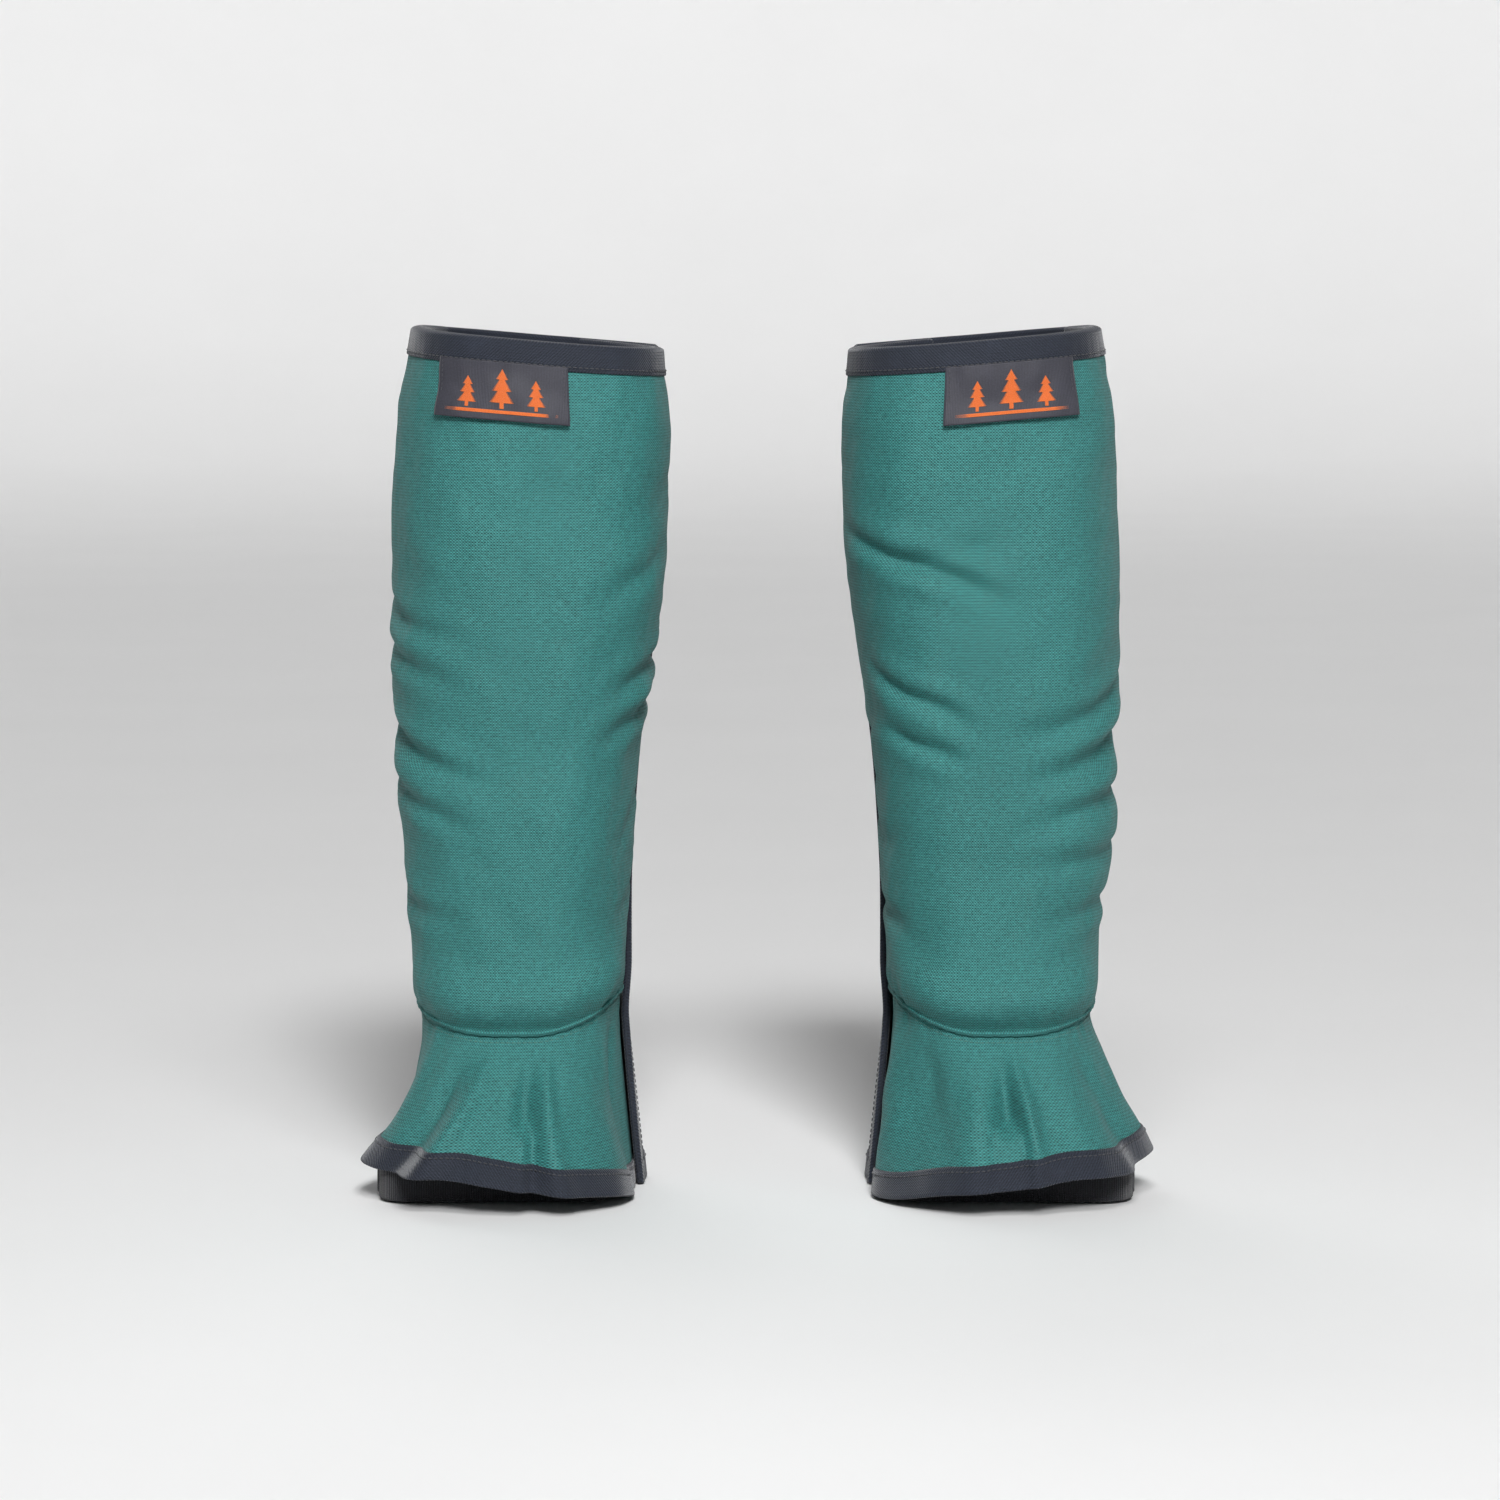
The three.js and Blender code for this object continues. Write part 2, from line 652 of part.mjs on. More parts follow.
function gaiter(side, sign) {
  const leg = new THREE.Group();
  leg.position.x = sign * STANCE;
  leg.scale.x = sign;
  const add = (name, geometry, look) => {
    const mesh = new THREE.Mesh(closed(geometry), new THREE.MeshStandardMaterial(look));
    mesh.name = `${side}_${name}`;
    leg.add(mesh);
  };

  add("front_shell", frontLayer(-SHELL, SHELL), GREEN);
  add("cut_pad_knit", frontLayer(KNIT_INSIDE, PAD), PAD_WHITE);
  add("cut_pad_felt", frontLayer(FELT_INSIDE, PAD), PAD_WHITE);
  add("lining", frontLayer(LINING_INSIDE, LINING), BLACK);
  add("boot_cover", bootCover(), GREEN);
  add("top_binding", topBinding(), BLACK);
  add("front_binding", frontBinding(), BLACK);
  add("ankle_piping", anklePiping(), GREEN);
  add("woven_label", wovenLabel(), LABEL_GREY);
  add("loop_tape", closureTape(CLOSURE_GAP), BLACK);

  add("back_panel", backPanel(), BLACK);
  add("flap_binding", flapBinding(), BLACK);
  add("hook_tape", closureTape(2 * CLOSURE_GAP + HOOK_LOOP), BLACK);
  for (const [level, z] of Object.entries(STRAPS)) {
    const socketEnd = BUCKLE.socketLength;
    const plugEnd = -4 - GAP - BUCKLE.plugBody;
    add(`${level}_strap_fixed`, webbing(z, WEB.fixedFrom, socketEnd + GAP), BLACK);
    add(`${level}_strap_adjust`, webbing(z, WEB.adjustTo, plugEnd - GAP), BLACK);
    add(`${level}_buckle_socket`, buckleSocket(z), PLASTIC);
    add(`${level}_buckle_plug`, buckleProngs(z), PLASTIC);
  }

  const underfoot = underfootParts();
  add("underfoot_strap", underfoot.strap, BLACK);
  add("underfoot_tab", underfoot.tab, BLACK);
  add("underfoot_buckle", ladderBuckle(), PLASTIC);
  add("hook_tab", hookTab(), BLACK);
  add("lace_hook", laceHook(), STEEL);
  return leg;
}

const pair = new THREE.Group();
pair.add(gaiter("left", 1), gaiter("right", -1));

// The origin is under the middle of the pair's box.
const box = new THREE.Box3().setFromObject(pair);
pair.position.y = -(box.min.y + box.max.y) / 2;
pair.position.z = -box.min.z;

export default pair;
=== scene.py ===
"""The looks of a pair of chainsaw gaiters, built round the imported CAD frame.

Cloth is worked out in millimetres in each leg's own frame, as the CAD is: +x is the lateral (outer)
side, the front faces -y and the ankle axis is at x = 0, y = 0. It becomes metres in the row frame when
a mesh is made. Angles round the leg are in degrees: 0 lateral, 90 front, 180 medial, 270 back.
"""

import math

import bpy
import numpy as np
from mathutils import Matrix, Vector


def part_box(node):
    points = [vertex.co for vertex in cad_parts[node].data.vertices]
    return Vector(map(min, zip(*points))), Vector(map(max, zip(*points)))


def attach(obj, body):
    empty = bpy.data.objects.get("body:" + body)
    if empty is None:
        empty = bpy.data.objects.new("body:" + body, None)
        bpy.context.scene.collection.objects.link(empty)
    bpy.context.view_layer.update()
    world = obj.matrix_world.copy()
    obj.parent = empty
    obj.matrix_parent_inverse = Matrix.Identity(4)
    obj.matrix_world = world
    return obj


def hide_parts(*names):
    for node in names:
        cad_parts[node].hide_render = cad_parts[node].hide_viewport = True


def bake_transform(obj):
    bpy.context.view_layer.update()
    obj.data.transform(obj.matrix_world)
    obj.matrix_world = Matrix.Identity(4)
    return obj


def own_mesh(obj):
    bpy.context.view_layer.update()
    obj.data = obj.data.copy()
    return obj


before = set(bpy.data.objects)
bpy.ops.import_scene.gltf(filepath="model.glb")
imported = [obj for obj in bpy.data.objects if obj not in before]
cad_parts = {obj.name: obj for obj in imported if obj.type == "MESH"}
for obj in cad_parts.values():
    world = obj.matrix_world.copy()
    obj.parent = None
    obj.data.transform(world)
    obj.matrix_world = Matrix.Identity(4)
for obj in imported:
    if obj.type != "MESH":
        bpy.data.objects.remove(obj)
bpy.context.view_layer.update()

# ---------------------------------------------------------------- dimensions, in millimetres

STANCE = 129.0  # pair's middle plane to each ankle axis
GAP = 0.4
TOP_HEIGHT = 470.0
RIM_TILT = 6.0
SEAM_HEIGHT = 92.0
SEAM_RISE_LATERAL, SEAM_RISE_MEDIAL = 11.0, 17.0
HEM_LIFT = 17.0
FORM = {
    "z": [0, 95, 165, 240, 330, 420, 480],
    "lateral": [58, 57, 62, 66.5, 69.5, 66, 59],
    "medial": [56, 53, 56, 61.5, 75, 79.5, 76],
    "front": [65, 63, 63, 66, 70, 69, 66],
    "back": [62, 60, 62, 67, 72, 70, 66],
}
FRONT_POWER, BACK_POWER = 2.6, 2.2
FLARE_FROM, FLARE_HEIGHT, FLARE_POWER = 95.0, 81.0, 1.1
FLARE_LATERAL, FLARE_FRONT, FLARE_TOE_OUT = 34.0, 52.0, 11.0

PAD_INSIDE = -6.1  # inner face of the padding, from the shell's outer face
LINING_THICK = 0.9
COVER_THICK = 1.2
PANEL_THICK = 2.0
TAPE_THICK = 1.0
TAPE_LEG = 13.5
HEM_LEG = 12.3
CORNER = np.radians(np.linspace(15, 75, 5))  # the turns at which tape is laid round a corner
STITCH_INSET = 2.6  # stitches to the tape's cut edge
THREAD_LIFT = 0.35
SEAM_TAPE_LIFT = 1.4
# Columns and rows of each cloth's grid.
PANEL_GRID, LINING_GRID, COVER_GRID, BACK_GRID = (330, 400), (90, 110), (300, 110), (170, 400)
HOOK_LOOP = 1.2
CLOSURE_GAP = 0.6
SEAM_ANGLE = -40.0
MARGIN = 48.0
MM_PER_DEGREE = 1.22  # along the leg's face

# The underfoot tab's upper end is this far in front of the ankle axis, and shows where that axis is.
UNDERFOOT_Y = -14.0
AXIS_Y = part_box("left_underfoot_tab")[1].y * 1000 - UNDERFOOT_Y



def middle_z(node):
    low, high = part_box(node)
    return 500 * (low.z + high.z)


STRAP_HEIGHTS = {n: middle_z(f"left_{n}_buckle_socket") for n in ("lower", "middle", "upper")}


def smooth(x, start, end):
    t = np.clip((np.asarray(x, float) - start) / (end - start), 0, 1)
    return t * t * (3 - 2 * t)


def bell(x, centre, width):
    return np.exp(-(((np.asarray(x, float) - centre) / width) ** 2))


# ---------------------------------------------------------------- the leg's shape


def form_at(z, name):
    """A smooth curve through FORM's values of one name."""
    heights, values = np.array(FORM["z"], float), np.array(FORM[name], float)
    z = np.clip(z, heights[0], heights[-1])
    i = np.clip(np.searchsorted(heights, z, side="right") - 1, 0, len(heights) - 2)
    before = np.maximum(np.arange(len(heights)) - 1, 0)
    after = np.minimum(np.arange(len(heights)) + 1, len(heights) - 1)
    slope = (values[after] - values[before]) / (heights[after] - heights[before])
    span = heights[i + 1] - heights[i]
    t = (z - heights[i]) / span
    rise = t * t * (3 - 2 * t)
    bend = slope[i] * t * (1 - t) ** 2 - slope[i + 1] * t * t * (1 - t)
    return values[i] + (values[i + 1] - values[i]) * rise + span * bend


def outline(angle, z):
    """The plan point of the outer face, as x and y arrays."""
    angle, z = np.broadcast_arrays(np.asarray(angle, float), np.asarray(z, float))
    c, s = np.cos(np.radians(angle)), np.sin(np.radians(angle))
    power = np.where(s > 0, FRONT_POWER, BACK_POWER)
    across = np.abs(c) / np.where(c > 0, form_at(z, "lateral"), form_at(z, "medial"))
    along = np.abs(s) / np.where(s > 0, form_at(z, "front"), form_at(z, "back"))
    radius = (across**power + along**power) ** (-1 / power)
    turn = np.where(angle > 270, angle - 360, angle)
    share = smooth(turn, -34, 20) * (1 - 0.85 * smooth(turn, 105, 172))
    out = share * np.maximum(0, (FLARE_FROM - z) / FLARE_HEIGHT) ** FLARE_POWER
    front = np.maximum(0, s)
    x = radius * c + out * (FLARE_LATERAL * c + FLARE_TOE_OUT * front)
    y = -radius * s - out * FLARE_FRONT * front
    return x, y


def way_out(angle, z):
    """The outer face's outward direction in plan, as x and y arrays."""
    x0, y0 = outline(np.asarray(angle) - 0.5, z)
    x1, y1 = outline(np.asarray(angle) + 0.5, z)
    length = np.hypot(x1 - x0, y1 - y0)
    return -(y1 - y0) / length, (x1 - x0) / length


def on_leg(angle, z, offset):
    """Points that far outside the outer face, in an array that ends in x, y, z."""
    angle, z, offset = np.broadcast_arrays(angle, z, offset)
    x, y = outline(angle, z)
    nx, ny = way_out(angle, z)
    return np.stack([x + nx * offset, y + ny * offset, z.astype(float)], axis=-1)


def degrees_per_mm(angle, z):
    x0, y0 = outline(np.asarray(angle) - 0.5, z)
    x1, y1 = outline(np.asarray(angle) + 0.5, z)
    return 1 / np.hypot(x1 - x0, y1 - y0)


def rim_z(angle):
    return TOP_HEIGHT + RIM_TILT * np.cos(np.radians(angle))


def seam_z(angle):
    sides = SEAM_RISE_LATERAL * (1 - smooth(angle, 5, 78)) + SEAM_RISE_MEDIAL * smooth(angle, 96, 160)
    return SEAM_HEIGHT + sides


def hem_z(angle):
    return HEM_LIFT * smooth(angle, -36, 15) * (1 - smooth(angle, 66, 160))


def flap_edge(z):
    return 206 - 36 * (1 - smooth(z, 10, 180))


def from_flap_edge(z, distance):
    return flap_edge(z) + distance * degrees_per_mm(flap_edge(z) + 15, z)


def front_edge(z):
    return from_flap_edge(z, MARGIN)


def flap_inside(angle, z):
    lift = 2 * HOOK_LOOP + 3 * CLOSURE_GAP
    start = front_edge(z) + 4
    return lift + (-PANEL_THICK - lift) * smooth(angle - start, 0, 28)


# ---------------------------------------------------------------- folds and creases


def waves(rng, a, b, wavelength, count=9):
    """A smooth random field of about unit height over two coordinates."""
    field = 0
    for _ in range(count):
        turn, phase = rng.uniform(0, 2 * math.pi, 2)
        k = 2 * math.pi / (wavelength * rng.uniform(0.7, 1.5))
        field = field + np.sin(k * (a * math.cos(turn) + b * math.sin(turn)) + phase)
    return field / math.sqrt(count / 2)


def crease(angle, z, fold):
    """A valley with a ridge on each side. It runs in from an edge and dies out."""
    a0, z0, a1, z1, depth, width, bow = fold
    px, pz = (angle - a0) * MM_PER_DEGREE, z - z0
    dx, dz = (a1 - a0) * MM_PER_DEGREE, z1 - z0
    length = math.hypot(dx, dz)
    t = (px * dx + pz * dz) / length**2
    aside = (pz * dx - px * dz) / length + bow * np.sin(math.pi * np.clip(t, 0, 1))
    fade = (1 - smooth(t, 0.25, 1.1)) * smooth(t, -0.9, -0.1)
    wide = width * (0.75 + 0.5 * np.clip(t, 0, 1))
    ridges = bell(aside, 1.9 * width, 1.3 * width) + bell(aside, -1.9 * width, 1.3 * width)
    return depth * fade * (0.6 * ridges - bell(aside, 0, wide))


# Creases of the padded panels: angle and height where each starts and ends, depth, width and bow.
CREASES = {
    "right": [
        (-6, 332, 74, 306, 3.8, 5, 3),
        (-4, 306, 68, 280, 3.6, 5, -2),
        (-10, 274, 88, 224, 5.6, 5.5, 4),
        (-6, 234, 76, 198, 4.4, 5, -3),
        (188, 296, 126, 272, 5.6, 5.5, 5),
        (186, 272, 124, 248, 5.4, 5.5, 4),
        (150, 345, 118, 318, 2.0, 7, 3),
        (178, 216, 140, 186, 2.6, 6, 3),
        (4, 172, 68, 152, 3.0, 5.5, 4),
        (182, 170, 134, 148, 2.4, 6, -3),
        (186, 396, 140, 372, 1.6, 8, 3),
    ],
    "left": [
        (134, 352, 76, 322, 3.8, 5.5, 3),
        (122, 352, 84, 366, 1.4, 6, -2),
        (-4, 292, 86, 252, 5.2, 6, 5),
        (-10, 270, 82, 228, 5.4, 6, 5),
        (130, 278, 96, 256, 3.4, 5, 3),
        (126, 250, 98, 236, 2.6, 5, 2),
        (-8, 226, 80, 202, 5.2, 5.5, -3),
        (-8, 198, 82, 182, 4.4, 5.5, 3),
        (-6, 164, 72, 148, 3.6, 5, -3),
        (186, 250, 140, 268, 2.6, 6, 3),
        (184, 206, 138, 192, 2.6, 6, -3),
        (184, 158, 124, 142, 3.4, 5.5, 3),
    ],
}
# How far the padding stands out above the ankle seam, and over the rest of the panel.
BELLY, CROWN = 7.6, 2.2
# Silhouette of each panel's lateral side: height, width and outward shift.
BULGES = {
    "right": [(258, 16, -1.8), (285, 14, 1.0), (205, 26, 0.8)],
    "left": [(250, 15, -2.6), (197, 22, 3.4), (158, 20, -1.8)],
}
# Folds of the boot covers: angle at the seam, half way and at the hem, width in degrees, and how far
# out each stands half way and at the hem. Valleys are below zero and drapes above it.
DRAPES = {
    "right": [
        (69, 58, 40, 6.0, -8.5, -6.0),
        (80, 71, 55, 5.0, 8.5, 6.5),
        (97, 97, 104, 4.6, -9.0, -6.0),
        (105, 105, 112, 3.4, 7.0, 4.5),
        (150, 150, 150, 9.0, -7.0, -4.0),
        (46, 38, 20, 7.0, 3.5, 4.5),
        (26, 16, 2, 7.0, -2.5, -4.5),
    ],
    "left": [
        (88, 89, 92, 4.6, -10.5, -3.0),
        (83, 81, 85, 3.4, 8.0, 3.0),
        (101, 101, 104, 6.5, 6.0, 3.5),
        (120, 124, 126, 13.0, -8.0, -5.0),
        (151, 148, 144, 9.0, 4.0, 3.0),
        (67, 62, 60, 8.0, 3.5, 3.0),
        (50, 42, 30, 6.5, -3.5, -6.0),
        (30, 22, 12, 8.0, 2.5, 4.5),
        (8, 2, -6, 8.0, -2.0, -4.5),
    ],
}
# The cover stands out at least this far over the lace hook: angles and heights at which that fades.
HOOK_ROOM = 0.4
HOOK_START, HOOK_END, HOOK_TOP = (78, 83.5), (96.5, 102), (37, 50)
# How far the lateral side of each cover hangs in, half way down, before it stands out to the hem.
SIDE_HANG = {"right": 30.0, "left": 4.0}


class Leg:
    """One gaiter: its side, and the fields by which its cloth leaves the smooth leg shape."""

    def __init__(self, name, sign, seed):
        self.name, self.sign = name, sign
        rng = np.random.default_rng(seed)
        self.seeds = rng.integers(0, 2**31, 8)
        self.small = []
        for _ in range(26):
            lateral = rng.random() < 0.5
            start = rng.uniform(-34, -4) if lateral else rng.uniform(178, 198)
            inward = rng.uniform(16, 38) * (1 if lateral else -1)
            z0 = rng.uniform(118, 440)
            fold = (start, z0, start + inward, z0 + rng.uniform(-26, 26), rng.uniform(0.2, 0.6))
            self.small.append((*fold, rng.uniform(3.5, 6.5), rng.uniform(-3, 3)))

    def rng(self, i):
        return np.random.default_rng(self.seeds[i])

    def panel(self, angle, z):
        """How far the padded panel stands out from its smooth shape."""
        above = z - seam_z(angle)
        below_rim = rim_z(angle) - z
        hidden = smooth(angle, flap_edge(z) - 16, flap_edge(z) - 3)
        side = smooth(angle, SEAM_ANGLE, SEAM_ANGLE + 14) * (1 - hidden)
        front = smooth(angle, 5, 60) * (1 - smooth(angle, 120, 172))
        s = angle * MM_PER_DEGREE
        belly = BELLY * front * bell(above, 17, 14) * side
        neck = -(0.8 + 2.4 * front) * bell(above, 0, 6)
        crown = CROWN * smooth(below_rim, 10, 44) * side
        lateral = bell(angle, 0, 34)
        round_side = 1 - 0.62 * bell(angle, 176, 22) - 0.7 * bell(angle, 0, 26)
        for height, wide, shift in BULGES[self.name]:
            crown = crown + shift * lateral * bell(z, height, wide)
        folds = 0
        for fold in CREASES[self.name] + self.small:
            folds = folds + crease(angle, z, fold)
        broad = 0.9 * waves(self.rng(0), s, z, 95) + 0.32 * waves(self.rng(1), s, z, 34)
        fine = 0.10 * waves(self.rng(2), s, z * 0.6, 11)
        pucker = 0.35 * bell(below_rim, 17, 8) * waves(self.rng(3), s, z * 0.2, 15)
        pucker = pucker + 0.45 * bell(above, 6, 7) * waves(self.rng(4), s, z * 0.2, 17)
        free = smooth(below_rim, 8, 34) * smooth(above, 0, 14) * side
        return belly + neck + crown + (folds + broad) * free * round_side + fine * free + pucker * side

    def lining(self, angle, z):
        return 0.25 * self.panel(angle, z)

    def cover(self, angle, z):
        """How far the boot cover stands out: folds that open from the seam to the hem."""
        drop = np.clip((seam_z(angle) - z) / SEAM_HEIGHT, 0, 1)
        hidden = smooth(angle, flap_edge(z) - 14, flap_edge(z) - 2)
        side = smooth(angle, SEAM_ANGLE, SEAM_ANGLE + 16) * (1 - hidden)
        s = angle * MM_PER_DEGREE
        folds = 0
        rising = smooth(drop, 0.0, 0.5)
        for at_seam, half_way, at_hem, wide, tall, tall_at_hem in DRAPES[self.name]:
            bend = 2 * (at_seam + at_hem) - 4 * half_way
            middle = at_seam + (at_hem - at_seam - bend) * drop + bend * drop**2
            height = rising * (tall + (tall_at_hem - tall) * smooth(drop, 0.5, 1))
            folds = folds + height * bell(angle, middle, wide * (0.7 + 0.6 * drop))
        straight = np.minimum(1.0, (FLARE_FROM - np.minimum(z, FLARE_FROM)) / FLARE_HEIGHT)
        at_hook = smooth(angle, *HOOK_START) * (1 - smooth(angle, *HOOK_END)) * (1 - smooth(z, *HOOK_TOP))
        folds = folds + at_hook * (np.maximum(folds, HOOK_ROOM) - folds)
        hang = SIDE_HANG[self.name] * (straight**FLARE_POWER - straight**2.2)
        folds = folds - hang * smooth(angle, -34, 5) * (1 - smooth(angle, 25, 75))
        folds = folds + 1.3 * drop * waves(self.rng(5), s, z * 0.35, 46)
        folds = folds + 0.35 * waves(self.rng(6), s, z * 0.5, 18) * smooth(drop, 0, 0.3)
        pucker = 0.3 * bell(drop, 0.08, 0.07) * waves(self.rng(4), s, z * 0.1, 13)
        return -0.5 + (folds + pucker) * side

    def front(self, angle, z):
        """The whole green front: cover below the ankle seam, panel above it."""
        up = smooth(z - seam_z(angle), -3, 3)
        return self.cover(angle, np.minimum(z, seam_z(angle))) * (1 - up) + self.panel(angle, z) * up

    def front_inside(self, angle, z):
        up = smooth(z - seam_z(angle), -5, -1)
        thin = self.cover(angle, z) - COVER_THICK
        thick = PAD_INSIDE - GAP - LINING_THICK + self.lining(angle, z)
        return thin * (1 - up) + thick * up

    def hem(self, angle):
        """How far the cover's hem rises above its level edge."""
        s = np.asarray(angle, float) * MM_PER_DEGREE
        side = smooth(angle, -30, 0) * (1 - smooth(angle, 130, 150))
        lateral = smooth(angle, -30, 5) * (1 - smooth(angle, 15, 70))
        return 1.4 * (1 + waves(self.rng(7), s, 0 * s, 60, 5) * 0.6) * side + 3.0 * lateral

    def flap(self, angle, z):
        """How far the back flap's outer face stands out from its smooth shape."""
        start = front_edge(z) - 6
        middle = smooth(angle - start, 0, 18) * (1 - smooth(angle, 306, 318))
        s = angle * MM_PER_DEGREE
        cinch = 0
        for height in STRAP_HEIGHTS.values():
            cinch = cinch - 1.6 * bell(z, height, 12)
        ends = smooth(z, 14, 34) * smooth(rim_z(angle) - z, 12, 34)
        rumple = 1.0 * waves(self.rng(2), s, z * 1.3, 70) + 0.4 * waves(self.rng(3), s * 0.7, z, 30)
        beyond = angle - flap_edge(z)
        close = -2.0 * (1 - smooth(z, 92, 124)) * (1 - smooth(beyond, 12, 26))
        return (cinch + 0.6 + rumple) * middle * ends + close


LEGS = [Leg("left", 1, 11), Leg("right", -1, 29)]


# ---------------------------------------------------------------- making meshes


def place(name, data):
    made = bpy.data.objects.new(name, data)
    bpy.context.scene.collection.objects.link(made)
    return made


def in_row_frame(leg, points):
    """Leg-frame millimetres to row-frame metres."""
    points = np.asarray(points, float)
    x = leg.sign * (STANCE + points[..., 0])
    return np.stack([x, points[..., 1] + AXIS_Y, points[..., 2]], axis=-1) / 1000


def outward(points, faces):
    """The faces, turned so that they look out of the closed mesh."""
    p = points[faces]
    a, b, c, d = p[:, 0], p[:, 1], p[:, 2], p[:, 3]
    volume = (a * np.cross(b, c)).sum() + (a * np.cross(c, d)).sum()
    return faces if volume > 0 else faces[:, ::-1]


def mesh_object(name, points, faces, cloth):
    """A mesh of quads, or of triangles given as quads whose last two corners are one.

    cloth gives each point's place on the flat cloth in millimetres, as x and y.
    """
    faces = outward(points, np.asarray(faces))
    mesh = bpy.data.meshes.new(name)
    used = np.ones(faces.shape, bool)
    used[:, 3] = faces[:, 2] != faces[:, 3]
    corners, sides = faces[used], used.sum(axis=1)
    mesh.vertices.add(len(points))
    mesh.vertices.foreach_set("co", np.asarray(points, np.float32).ravel())
    mesh.loops.add(len(corners))
    mesh.loops.foreach_set("vertex_index", corners.astype(np.int32))
    mesh.polygons.add(len(faces))
    mesh.polygons.foreach_set("loop_start", (np.cumsum(sides) - sides).astype(np.int32))
    mesh.polygons.foreach_set("use_smooth", np.full(len(faces), True))
    mesh.update(calc_edges=True)
    mesh.validate()
    flat = np.concatenate([cloth, np.zeros((len(cloth), 1))], axis=1) / 1000
    weave = mesh.attributes.new("cloth", "FLOAT_VECTOR", "POINT")
    weave.data.foreach_set("vector", flat.astype(np.float32).ravel())
    return place(name, mesh)


def grid_faces(rows, columns, start=0):
    """Quads of a grid of that many points each way."""
    i = np.arange(rows * columns).reshape(rows, columns) + start
    return np.stack([i[:-1, :-1], i[:-1, 1:], i[1:, 1:], i[1:, :-1]], axis=-1).reshape(-1, 4)


def thick_sheet(name, leg, outer, inner, cloth):
    """A closed sheet between two grids of points. cloth gives each point's place on the flat cloth."""
    rows, columns = outer.shape[:2]
    count = rows * columns
    top, bottom = grid_faces(rows, columns), grid_faces(rows, columns, count)[:, ::-1]
    i = np.arange(count).reshape(rows, columns)
    rim = np.concatenate([i[0, :-1], i[:-1, -1], i[-1, :0:-1], i[:0:-1, 0]])
    after = np.roll(rim, -1)
    sides = np.stack([after, rim, rim + count, after + count], axis=-1)
    points = in_row_frame(leg, np.concatenate([outer.reshape(-1, 3), inner.reshape(-1, 3)]))
    flat = np.concatenate([cloth.reshape(-1, 2)] * 2)
    return mesh_object(name, points, np.concatenate([top, bottom, sides]), flat)


def leg_grid(start, end, bottom, top, columns, rows):
    """Angles and heights over a sheet between two edges, each rows + 1 by columns + 1."""
    u, v = np.linspace(0, 1, columns + 1)[None, :], np.linspace(0, 1, rows + 1)[:, None]
    z = np.full((rows + 1, columns + 1), TOP_HEIGHT / 2)
    for _ in range(6):
        angle = start(z) + (end(z) - start(z)) * u
        z = bottom(angle) + (top(angle) - bottom(angle)) * v
    return angle, z


def leg_sheet(name, leg, angle, z, outside, inside):
    cloth = np.stack([angle * MM_PER_DEGREE, z], axis=-1)
    return thick_sheet(name, leg, on_leg(angle, z, outside), on_leg(angle, z, inside), cloth)


def swept(name, leg, rings, cloth):
    """A closed mesh through rings of points, with a fan at each end."""
    count, around = rings.shape[:2]
    i = np.arange(count * around).reshape(count, around)
    j = np.roll(i, -1, axis=1)
    sides = np.stack([i[:-1], j[:-1], j[1:], i[1:]], axis=-1).reshape(-1, 4)
    first, last = count * around, count * around + 1
    caps = [[j[0, k], i[0, k], first, first] for k in range(around)]
    caps += [[i[-1, k], j[-1, k], last, last] for k in range(around)]
    ends = np.stack([rings[0].mean(axis=0), rings[-1].mean(axis=0)])
    points = in_row_frame(leg, np.concatenate([rings.reshape(-1, 3), ends]))
    flat = np.concatenate([cloth.reshape(-1, 2), cloth[[0, -1], 0]])
    return mesh_object(name, points, np.concatenate([sides, caps]), flat)


def along(points):
    """Distance along a line of points."""
    steps = np.linalg.norm(np.diff(points, axis=0), axis=1)
    return np.concatenate([[0], np.cumsum(steps)])


def respaced(points, pitch):
    """The line again, with points about pitch apart."""
    s = along(points)
    at = np.linspace(0, s[-1], max(2, int(s[-1] / pitch) + 1))
    return np.stack([np.interp(at, s, points[:, k]) for k in range(points.shape[1])], axis=1)


# ---------------------------------------------------------------- bindings and stitches


def edge_path(angle, z, way_angle, way_z):
    """Part of an edge for folded_tape(): where it runs, and which way leads in from it."""
    return np.stack(np.broadcast_arrays(angle, z, way_angle, way_z), axis=1)


